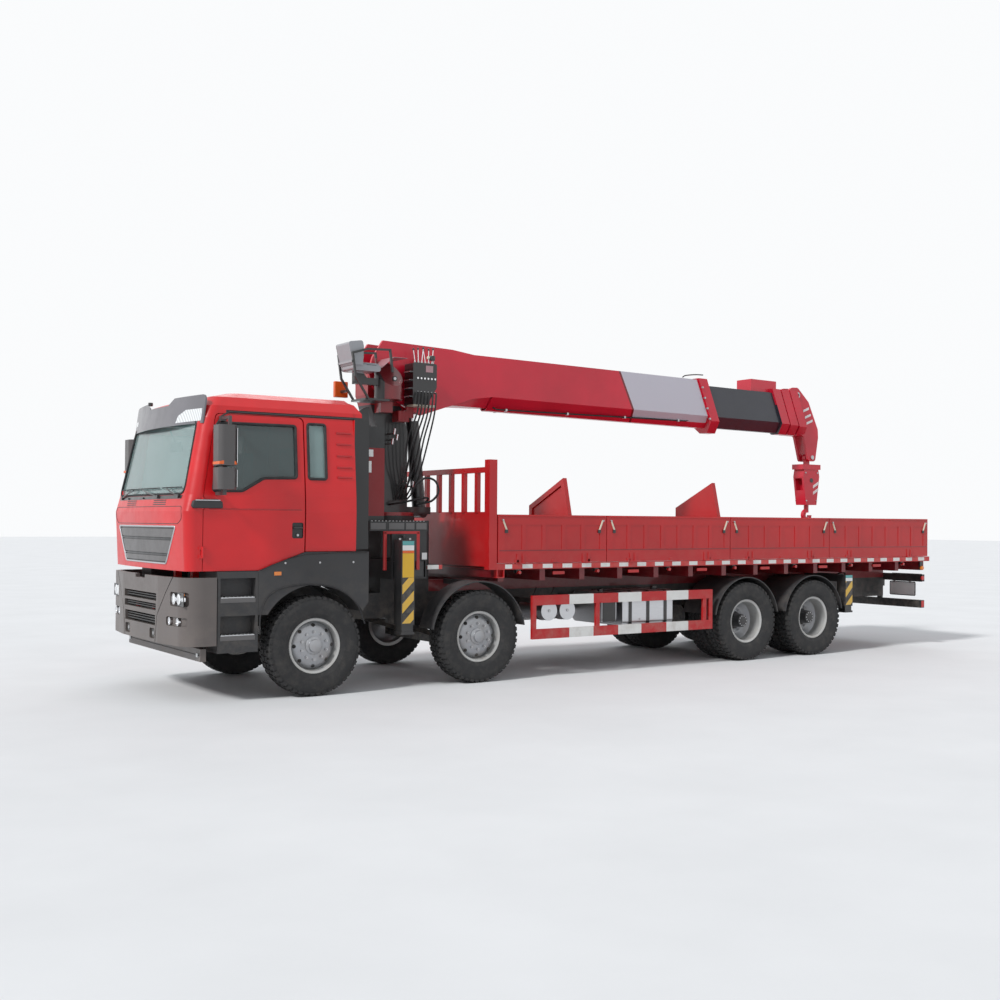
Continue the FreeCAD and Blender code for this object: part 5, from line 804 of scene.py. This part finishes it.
# Mudguards, steps and tanks
def make_skirts():
    for side, sign in SIDES:
        skirt = Solid()
        for z in (0.690, 1.080):
            skirt.box((5.185, 5.555), (1.125, 1.235), (z + 0.002, z + 0.014), "aluminium", 0.004)
            for k in range(9):
                x = 5.205 + 0.041 * k
                skirt.box((x, x + 0.014), (1.130, 1.236), (z + 0.013, z + 0.020), "steel", 0.002)
            skirt.box((5.180, 5.560), (1.2335, 1.2425), (z - 0.044, z + 0.002), "grille_grey", 0.004)
        edge = smooth_path([(5.130, 1.243, 0.700), (5.125, 1.243, 0.900), (5.045, 1.243, 1.085), (4.860, 1.243, 1.180), (4.560, 1.243, 1.205), (4.240, 1.243, 1.150), (4.010, 1.243, 0.985), (3.905, 1.243, 0.760)], 5)
        skirt.pipe(edge, 0.009, "hose", 8)
        liner = arc((4.490, 0.542), 0.656, 12, 168, 28) + arc((4.490, 0.542), 0.648, 168, 12, 28)
        skirt.prism(liner, "y", 0.600, 0.902, "chassis")
        skirt.prism(arc((4.490, 0.542), 0.652, 39, 141, 16), "y", 0.597, 0.603, "chassis")
        skirt.pipe([(3.880, 1.243, 1.545), (4.2, 1.243, 1.545), (4.60, 1.243, 1.530), (4.80, 1.243, 1.490), (5.00, 1.243, 1.420), (5.13, 1.243, 1.365)], 0.005, "hose", 6)
        skirt.box((4.895, 4.975), (1.2385, 1.2475), (1.310, 1.350), "lamp_amber", 0.004)
        for x in (4.05, 4.45, 4.85):
            skirt.rod((x, 1.236, 1.44), (x, 1.244, 1.44), 0.012, "steel", 6)
        skirt.done("skirt_" + side, "chassis", flip=sign < 0)
    tanks = Solid()
    for x in (-0.60, -0.30, 0.0):
        strap = rounded([(0.468, 0.558), (1.122, 0.558), (1.122, 1.012), (0.468, 1.012)], 0.055)
        tanks.slab([[(x - 0.025, y * grow + 0.795 * (1 - grow), z * grow + 0.785 * (1 - grow)) for y, z in strap + strap[:1]] for grow in (1.0, 1.012)], (0.05, 0, 0), "satin_black")
    tanks.rod((-0.62, 0.86, 1.008), (-0.62, 0.86, 1.050), 0.048, "satin_black", 28, 0.008)
    tanks.rod((-0.16, 1.116, 0.64), (-0.16, 1.128, 0.64), 0.012, "steel", 8)
    tanks.box((0.215, 0.425), (1.0795, 1.0905), (0.62, 0.98), "satin_black", 0.012)
    tanks.rod((0.32, 0.90, 0.998), (0.32, 0.90, 1.030), 0.035, "satin_black", 24, 0.006)
    for x in (1.320, 1.040):
        for y in (0.62, 1.01):
            tanks.lathe([(0.1205, -0.016), (0.1245, -0.016), (0.1245, 0.016), (0.1205, 0.016)], (x, y, 0.800), "y", "satin_black", 40)
        tanks.rod((x, 1.148, 0.800), (x, 1.162, 0.800), 0.018, "steel", 6)
        tanks.pipe(smooth_path([(x, 0.80, 0.915), (x, 0.80, 0.97), (x - 0.05, 0.78, 1.03), (x - 0.12, 0.70, 1.06)], 4), 0.008, "hose", 8)
    tanks.done("tank_fittings", "chassis")


# Base and outriggers
def make_base():
    base = Solid()
    for low, high in ((3.556, 3.751), (3.317, 3.516), (3.183, 3.293), (3.022, 3.158)):
        base.box((low, high), (1.056, 1.066), (1.797, 1.872), "grille_grey", 0.004)
    for k in range(16):
        x = 3.04 + 0.045 * k
        base.rod((x, 1.03, 1.888), (x, 1.03, 1.898), 0.010, "steel", 6)
    for x, low, high in ((3.130, 1.333, 1.769), (3.560, 1.333, 1.769)):
        base.box((x - 0.022, x + 0.022), (1.040, 1.062), (low, high), "bed_red", 0.006)
    base.box((3.110, 3.583), (1.040, 1.062), (1.745, 1.778), "bed_red", 0.006)
    base.box((2.80, 3.000), (1.020, 1.055), (1.335, 1.385), "edge_tape", 0.003)
    base.box((3.020, 3.090), (1.058, 1.075), (1.450, 1.530), "steel", 0.004)
    base.box((3.690, 3.757), (0.9985, 1.004), (2.62, 2.70), "white", 0.002)
    base.box((3.712, 3.757), (0.9985, 1.004), (2.44, 2.57), "white", 0.002)
    base.rod((3.65, 0.78, 2.958), (3.65, 0.78, 2.995), 0.050, "satin_black", 28, 0.008)
    for k in range(24):
        angle = 2 * math.pi * k / 24
        x, y = 2.95 + 0.27 * math.cos(angle), 0.27 * math.sin(angle)
        base.rod((x, y, 1.896), (x, y, 1.918), 0.014, "steel", 6, 0.002)
    base.done("base_fittings", "chassis")
    for side, sign, low in (("left", 1, 3.288), ("right", -1, 3.028)):
        leg = Solid()
        for finish, z0, z1 in (("teal", 1.622, 1.668), ("white", 1.562, 1.620), ("orange", 1.532, 1.560), ("yellow", 1.258, 1.530), ("leg_stripes", 0.740, 1.256)):
            leg.box((low + 0.012, low + 0.158), (1.2615, 1.2655), (z0, z1), finish, 0.001)
        for x in (low + 0.02, low + 0.15):
            leg.rod((x, 1.18, 1.678), (x, 1.18, 1.700), 0.014, "steel", 6)
        leg.pipe(smooth_path([(low + 0.085, 1.17, 1.675), (low + 0.085, 1.17, 1.715), (low + 0.05, 1.10, 1.725), (low + 0.03, 1.04, 1.70)], 4), 0.012, "hose", 8)
        leg.done("leg_plate_" + side, "beam_" + side, flip=sign < 0)
        rear = Solid()
        for finish, z0, z1 in (("teal", 1.098, 1.136), ("white", 1.050, 1.096), ("leg_stripes", 0.700, 1.048)):
            rear.box((-4.182, -4.038), (1.2395, 1.2435), (z0, z1), finish, 0.001)
        rear.pipe(smooth_path([(-4.11, 1.16, 1.138), (-4.11, 1.16, 1.165), (-4.11, 1.08, 1.168), (-4.11, 1.00, 1.140)], 4), 0.011, "hose", 8)
        rear.done("rear_leg_plate_" + side, "chassis", flip=sign < 0)


# Column with its seat, valves and hoses
def make_pad(name, centre, half):
    """A crowned cushion with piping round its widest line."""
    pad = Solid()
    bend = 5.0
    bmesh.ops.create_cube(pad.mesh, size=2.0)
    bmesh.ops.subdivide_edges(pad.mesh, edges=pad.mesh.edges[:], cuts=9, use_grid_fill=True)
    for vert in pad.mesh.verts:
        size = sum(abs(part) ** bend for part in vert.co) ** (1 / bend)
        vert.co = Vector([middle + reach * part / size for middle, reach, part in zip(centre, half, vert.co)])
    slot = pad.index("seat_grey")
    for face in pad.mesh.faces:
        face.material_index = slot
    first, second = sorted(range(3), key=lambda axis: half[axis])[1:]
    piping = []
    for k in range(48):
        across, along = math.cos(2 * math.pi * k / 48), math.sin(2 * math.pi * k / 48)
        size = (abs(across) ** bend + abs(along) ** bend) ** (1 / bend)
        point = Vector(centre)
        point[first] += half[first] * across / size
        point[second] += half[second] * along / size
        piping.append(point)
    pad.pipe(piping, 0.004, "satin_black", 6, True)
    pad.done(name, "column")


def make_column():
    make_pad("seat_cushion", (3.522, 0.470, 3.712), (0.123, 0.148, 0.030))
    make_pad("seat_back_cushion", (3.634, 0.470, 3.862), (0.022, 0.148, 0.115))
    parts = Solid()
    for k in range(6):
        x = 2.60 + 0.048 * k
        parts.rod((x, 0.44, 3.805), (x, 0.44, 3.835), 0.014, "steel", 12, 0.002)
        top = Vector((x + 0.02 * (k % 3 - 1), 0.43 + 0.008 * (k % 2), 3.985 - 0.012 * (k % 3)))
        parts.rod((x, 0.44, 3.83), top, 0.006, "chrome", 10)
        parts.rod(top, top + 0.028 * Z, 0.013, "satin_black", 14, 0.005, 0.010)
        for z in (3.40, 3.50, 3.60, 3.70):
            parts.rod((2.895, 0.325 + 0.026 * k, z), (2.925, 0.325 + 0.026 * k, z), 0.009, "chrome", 8)
        parts.rod((x, 0.498, 3.45), (x, 0.522, 3.45), 0.013, "chrome", 6)
        parts.rod((x, 0.498, 3.62), (x, 0.522, 3.62), 0.013, "chrome", 6)
        drop = 2.30 + 0.05 * (k % 3)
        run = [(x, 0.520, 3.45), (x + 0.005, 0.555, 3.42), (x + 0.03, 0.560, 3.20), (2.66 + 0.055 * k, 0.48 - 0.02 * (k % 2), 2.90), (2.70 + 0.05 * k, 0.40, 2.60), (2.74 + 0.04 * k, 0.30, drop), (2.80 + 0.03 * k, 0.20, 2.16)]
        parts.pipe(smooth_path(run, 5), 0.0105, "hose", 8)
    parts.box((2.575, 2.885), (0.300, 0.495), (3.282, 3.306), "cream", 0.004)
    parts.box((2.62, 2.72), (0.4995, 0.5045), (3.70, 3.78), "pink", 0.002)
    parts.rod((2.585, 0.44, 3.80), (2.575, 0.44, 3.865), 0.007, "steel", 10)
    parts.rod((2.600, 0.44, 3.855), (2.600, 0.44, 3.915), 0.040, "satin_black", 20, 0.012)
    parts.rod((2.640, 0.44, 3.885), (2.665, 0.44, 3.890), 0.022, "cream", 16, 0.005)
    for x, y, z in ((3.08, 0.33, 2.83), (3.03, 0.35, 2.88), (3.06, 0.34, 2.95), (2.86, 0.29, 2.30), (2.78, 0.30, 2.32), (2.90, 0.28, 2.33)):
        parts.rod((x, 0.10, z), (x, y + 0.01, z), 0.010, "hose", 10)
        parts.rod((x, y, z - 0.01), (x, y + 0.02, z + 0.06), 0.013, "chrome", 8, 0.002)
    parts.pipe(smooth_path([(2.74, 0.38, 2.11), (2.60, 0.45, 2.14), (2.52, 0.48, 2.25), (2.56, 0.48, 2.38), (2.68, 0.45, 2.42), (2.77, 0.38, 2.34), (2.80, 0.30, 2.22)], 6), 0.014, "hose", 8)
    # painted highlight: the tilted plate is pink to stand for the sun on its red paint
    parts.slab([[(3.355, 0.245, 3.70), (3.355, 0.575, 3.70)], [(3.20, 0.245, 3.834), (3.20, 0.575, 3.834)], [(3.02, 0.245, 3.834), (3.02, 0.575, 3.834)]], (-0.002, 0, 0.005), "pink")
    parts.rod((3.19, 0.565, 3.58), (3.19, 0.584, 3.58), 0.032, "satin_black", 24, 0.003)
    parts.rod((3.19, 0.580, 3.58), (3.19, 0.588, 3.58), 0.018, "steel", 20, 0.002)
    parts.prism([(3.39, 3.06), *arc((3.39, 3.06), 0.19, 0, 90, 8)], "y", 0.30, 0.318, "satin_black", 0.004)
    parts.box((3.28, 3.46), (-0.52, -0.46), (3.43, 3.63), "orange", 0.010)
    parts.rod((3.37, -0.47, 3.50), (3.37, -0.30, 3.50), 0.020, "satin_black", 12)
    for y in (0.272, -0.272):
        parts.rod((3.210, y - 0.010, 3.620), (3.210, y + 0.010, 3.620), 0.062, "steel", 28, 0.006)
        for k in range(3):
            angle = 2 * math.pi * k / 3
            centre = Vector((3.21 + 0.038 * math.cos(angle), y, 3.62 + 0.038 * math.sin(angle)))
            parts.rod(centre - 0.014 * Y, centre + 0.014 * Y, 0.009, "chrome", 6)
    parts.pipe(smooth_path([(2.62, 0.12, 2.10), (2.55, 0.22, 2.13), (2.60, 0.36, 2.18), (2.78, 0.42, 2.16), (2.95, 0.36, 2.12), (3.02, 0.22, 2.10), (3.02, 0.12, 2.09)], 6), 0.013, "hose", 8)
    parts.done("column_fittings", "column")


# Boom and hook
def under(x):
    """Height of the boom's underside, which rises half a degree from its foot pin."""
    return 3.345 + math.tan(math.radians(0.5)) * (3.21 - x)


def make_boom():
    base = Solid()
    for y in (0.13, -0.13):
        base.pipe([(1.50, y, under(1.5) + 0.01), (1.44, y, under(1.44) - 0.012), (0.0, y, under(0.0) - 0.013), (-1.86, y, under(-1.86) - 0.013), (-1.92, y, under(-1.92) + 0.01)], 0.010, "hose", 8)
        for x in (1.3, 0.3, -0.7, -1.7):
            base.box((x - 0.015, x + 0.015), (y - 0.022, y + 0.022), (under(x) - 0.030, under(x) + 0.003), "steel", 0.004)
    for x, z in ((-2.05, 3.90), (-2.10, 3.75), (-2.15, 3.60), (-2.20, 3.45)):
        for sign in (1, -1):
            base.rod((x - 0.02, sign * 0.235, z - 0.03), (x - 0.02, sign * 0.262, z - 0.03), 0.016, "steel", 6, 0.002)
    base.pipe(smooth_path([(-1.80, 0.12, 4.010), (-1.86, 0.12, 4.040), (-2.05, 0.12, 4.066), (-2.20, 0.12, 4.072)], 4), 0.009, "satin_black", 8)
    base.done("boom_fittings", "boom")
    belly = Solid()
    rows = []
    for x, wide, shoulder, flat in ((1.555, 0.212, 0.164, 0.052), (1.70, 0.190, 0.160, 0.085), (1.86, 0.172, 0.150, 0.115), (2.05, 0.172, 0.085, 0.140), (2.20, 0.172, 0.034, 0.160)):
        rows.append([(x, y, under(x) + z) for y, z in ((-wide, shoulder), (-flat, 0.002), (flat, 0.002), (wide, shoulder))])
    belly.slab(rows, (0, 0, 0.006), "crimson")
    belly.done("boom_belly", "boom")
    head = Solid()
    for sign in (1, -1):
        for x in (-3.25, -3.36, -3.47, -3.58):
            head.box((x - 0.028, x + 0.028), sorted((sign * 0.118, sign * 0.126)), (3.985, 4.030), "satin_black", 0.003)
    head.done("box_slots", "stage_two")
    tip = Solid()
    for sign in (1, -1):
        face = sorted((sign * 0.1145, sign * 0.119))
        for start, end, z in ((-4.350, -4.478, 3.645), (-4.390, -4.522, 3.545), (-4.425, -4.562, 3.455)):
            tip.prism([(start, z), (end, z + 0.050), (end, z + 0.088), (start, z + 0.038)], "y", *face, "white", 0.001)
        for x, z in ((-4.06, 3.755), (-4.225, 3.745)):
            tip.rod((x, sign * 0.112, z), (x, sign * 0.121, z), 0.030, "satin_black", 24, 0.002)
        tip.rod((-4.215, sign * 0.110, 3.905), (-4.215, sign * 0.130, 3.905), 0.050, "steel", 28, 0.005)
        tip.rod((-4.215, sign * 0.128, 3.905), (-4.215, sign * 0.140, 3.905), 0.024, "satin_black", 20, 0.004)
        tip.rod((-4.5544, sign * 0.112, 2.9422), (-4.5544, sign * 0.132, 2.9422), 0.034, "steel", 24, 0.004)
        for x in (-3.99, -4.10):
            tip.prism([(x, 3.42), (x - 0.028, 3.42), (x - 0.118, 3.93), (x - 0.090, 3.93)], "y", *sorted((sign * 0.1145, sign * 0.124)), "crimson", 0.003)
    tip.done("head_fittings", "tip")
    hook = Solid()
    for sign in (1, -1):
        face = sorted((sign * 0.1045, sign * 0.1085))
        for z in (2.475, 2.375):
            hook.prism([(-4.595, z - 0.020), (-4.715, z + 0.045), (-4.715, z + 0.090), (-4.595, z + 0.025)], "y", *face, "white", 0.001)
        for x, z in ((-4.42, 2.70), (-4.69, 2.70), (-4.44, 2.26), (-4.67, 2.26)):
            hook.rod((x, sign * 0.103, z), (x, sign * 0.115, z), 0.014, "steel", 6, 0.002)
        hook.rod((-4.5544, sign * 0.103, 2.58), (-4.5544, sign * 0.112, 2.58), 0.036, "satin_black", 24, 0.003)
    hook.done("hook_fittings", "hook")


# Bed
BOARD_JOINTS = (2.160, 0.510, -1.650, -3.650, -5.930)


def make_bed():
    for side, sign in SIDES:
        edge = Solid()
        edge.box((-5.90, 2.05), (1.2545, 1.2568), (1.334, 1.384), "edge_tape")
        for x in (1.82, 0.62, -0.58, -1.78, -2.98, -4.18, -5.38):
            edge.rod((x, 1.18, 1.285), (x, 1.235, 1.285), 0.022, "lamp_red", 20, 0.004)
            edge.box((x - 0.03, x + 0.03), (1.15, 1.20), (1.28, 1.325), "satin_black", 0.003)
        for x in (1.22, 0.02, -1.18, -2.38, -3.58, -4.78):
            edge.box((x - 0.09, x + 0.09), (1.190, 1.210), (1.250, 1.290), "tape_red", 0.004)
        edge.done("edge_tape_" + side, "chassis", flip=sign < 0)
        latch = Solid()
        for i, (front, rear) in enumerate(zip(BOARD_JOINTS, BOARD_JOINTS[1:])):
            for x, way in ((front - 0.055, -1), (rear + 0.055, 1)):
                bar = [(x, 1.925), (x + way * 0.020, 1.925), (x + way * 0.075, 1.800), (x + way * 0.055, 1.800)]
                latch.prism(bar, "y", 1.258, 1.276, "cream", 0.004)
                latch.rod((x + way * 0.01, 1.25, 1.915), (x + way * 0.01, 1.282, 1.915), 0.012, "steel", 12, 0.002)
                latch.box((x + way * 0.065 - 0.022, x + way * 0.065 + 0.022), (1.2555, 1.270), (1.760, 1.800), "satin_black", 0.003)
            for k in range(3):
                x = front + (rear - front) * (k + 0.5) / 3
                latch.box((x - 0.030, x + 0.030), (1.2555, 1.268), (1.402, 1.440), "bed_red", 0.004)
            latch.pipe([(front - 0.02, 1.2595, 1.965), (rear + 0.02, 1.2595, 1.965)], 0.009, "bed_red", 8)
            latch.pipe([(front - 0.02, 1.2590, 1.550), (rear + 0.02, 1.2590, 1.550)], 0.005, "dark_red", 6)
        latch.done("latches_" + side, "sides_" + side, flip=sign < 0)
    board = Solid()
    for y in (-1.10, -0.55, 0.0, 0.55, 1.10):
        board.box((-5.990, -5.983), (y - 0.03, y + 0.03), (1.404, 1.470), "bed_red", 0.002)
    board.done("tailgate_fittings", "tailgate")
    floor = Solid()
    for k in range(1, 10):
        y = -1.2 + 0.24 * k
        floor.box((-5.90, 2.04), (y - 0.006, y + 0.006), (1.3945, 1.3985), "dark_red")
    for x in (1.2, -0.2, -1.6, -3.0, -4.4, -5.6):
        for sign in (1, -1):
            floor.lathe([(0.026, -0.004), (0.036, -0.004), (0.036, 0.004), (0.026, 0.004)], (x, sign * 1.12, 1.399), "z", "steel", 24)
    floor.done("floor_seams", "chassis")


# Rear end
def make_rear():
    bar = Solid()
    for side, sign in SIDES:
        for low, high, finish in ((0.58, 0.74, "lamp_red"), (0.745, 0.865, "lamp_amber"), (0.870, 0.960, "lamp_clear"), (0.965, 1.125, "lamp_red")):
            bar.box((-5.978, -5.955), sorted((sign * low, sign * high)), (1.008, 1.102), finish, 0.005)
        bar.box((-5.9595, -5.950), sorted((sign * 0.565, sign * 1.14)), (0.992, 1.118), "satin_black", 0.004)
        bar.box((-5.936, -5.926), sorted((sign * 0.20, sign * 1.19)), (0.618, 0.682), "edge_tape", 0.002)
        bar.box((-5.92, -5.86), sorted((sign * 1.197, sign * 1.204)), (0.60, 0.70), "tape_red", 0.002)
        bar.rod((-5.90, sign * 1.178, 1.055), (-5.90, sign * 1.200, 1.055), 0.034, "lamp_red", 24, 0.005)
        bar.rod((-5.83, sign * 1.205, 1.216), (-5.83, sign * 1.248, 1.216), 0.030, "lamp_amber", 20, 0.005)
        bar.box((-5.86, -5.80), sorted((sign * 1.19, sign * 1.215)), (1.19, 1.325), "satin_black", 0.003)
    ring = rounded([(0.527, 0.770), (1.010, 0.770), (1.010, 0.980), (0.527, 0.980)], 0.02)
    bar.pipe([(-5.955, y, z) for y, z in ring], 0.008, "satin_black", 8, True)
    bar.box((-5.957, -5.951), (0.530, 1.007), (0.774, 0.976), "white", 0.002)
    for y in (0.62, 0.92):
        bar.box((-5.955, -5.935), (y - 0.015, y + 0.015), (0.965, 1.005), "steel", 0.002)
    bar.done("rear_lamps", "chassis")


# Studio
def make_studio():
    scene = bpy.context.scene
    scene.view_settings.view_transform = "Standard"
    world = bpy.data.worlds.new("world")
    scene.world = world
    world.use_nodes = True
    tree = world.node_tree
    sky = tree.nodes["Background"]
    sky.inputs["Color"].default_value = (0.86, 0.90, 0.95, 1)
    sky.inputs["Strength"].default_value = 0.62
    shown = tree.nodes.new("ShaderNodeBackground")
    shown.inputs["Color"].default_value = (0.96, 0.97, 0.98, 1)
    rays = tree.nodes.new("ShaderNodeLightPath")
    both = tree.nodes.new("ShaderNodeMixShader")
    seen = rays.outputs["Is Camera Ray"]
    for kind in ("Is Glossy Ray", "Is Transmission Ray"):
        either = tree.nodes.new("ShaderNodeMath")
        either.operation = "MAXIMUM"
        tree.links.new(seen, either.inputs[0])
        tree.links.new(rays.outputs[kind], either.inputs[1])
        seen = either.outputs[0]
    tree.links.new(seen, both.inputs["Fac"])
    tree.links.new(sky.outputs[0], both.inputs[1])
    tree.links.new(shown.outputs[0], both.inputs[2])
    tree.links.new(both.outputs[0], tree.nodes["World Output"].inputs["Surface"])
    for name, power, angle, turn in (("key", 2.3, 8.0, (0.876, 0.0, 1.807)), ("fill", 0.35, 40.0, (0.95, 0.0, -0.6))):
        light = bpy.data.lights.new(name, "SUN")
        light.energy = power
        light.angle = math.radians(angle)
        lamp = bpy.data.objects.new(name, light)
        lamp.rotation_euler = turn
        scene.collection.objects.link(lamp)
    recipe = Recipe("floor")
    shade = recipe.mix(recipe.ramp(recipe.noise(0.8, 6.0), 0.3, 0.7), (0.72, 0.725, 0.73, 1), (0.76, 0.765, 0.77, 1))
    recipe.finish(shade, 0.9)
    floor = bpy.data.meshes.new("floor")
    reach = 120.0
    floor.from_pydata([(-reach, -reach, 0), (reach, -reach, 0), (reach, reach, 0), (-reach, reach, 0)], [], [(0, 1, 2, 3)])
    floor.materials.append(recipe.material)
    plane = bpy.data.objects.new("floor", floor)
    scene.collection.objects.link(plane)


make_camera()
make_studio()
dress("chassis", "chassis_frame", "axles", "leaf_springs", "rear_outrigger_box", "engine_block")
dress("base_black", "crane_base")
dress("chassis", *["knuckle_%s_%s" % (axle, side) for axle in ("one", "two") for side, _ in SIDES])
dress("guard_red", "underrun_guards")
dress("bumper_grey", "bumper")
dress("plastic", "mudguards")
dress("visor_grey", "sun_visor")
dress("mirror_grey", "mirror_left", "mirror_right")
dress("aluminium", "side_equipment")
dress("bed_red", "headboard", "stop_plates", "drop_sides_left", "drop_sides_right", "tailgate")
dress("floor_red", "bed_floor")
dress("cab_red", "cab_shell")
dress("door_red", "door_left", "door_right")
dress("screen", "cab_glass")
dress("side_glass", "door_glass_left", "door_glass_right")
dress("interior", "cab_interior")
dress("satin_black", *["outrigger_%s_%s" % (part, side) for part in ("beam", "leg") for side, _ in SIDES])
dress("satin_black", "rear_leg_left", "rear_leg_right", "lift_barrel")
dress("crimson", "boom_tip", "boom_stage_three", "hook_block")
dress("column_red", "slewing_column")
dress("boom_base", "boom_base")
dress("boom_two", "boom_stage_two")
dress("chrome", "lift_rod")
make_cab()
make_front()
make_skirts()
make_base()
make_column()
make_boom()
make_bed()
make_rear()
make_wheels()
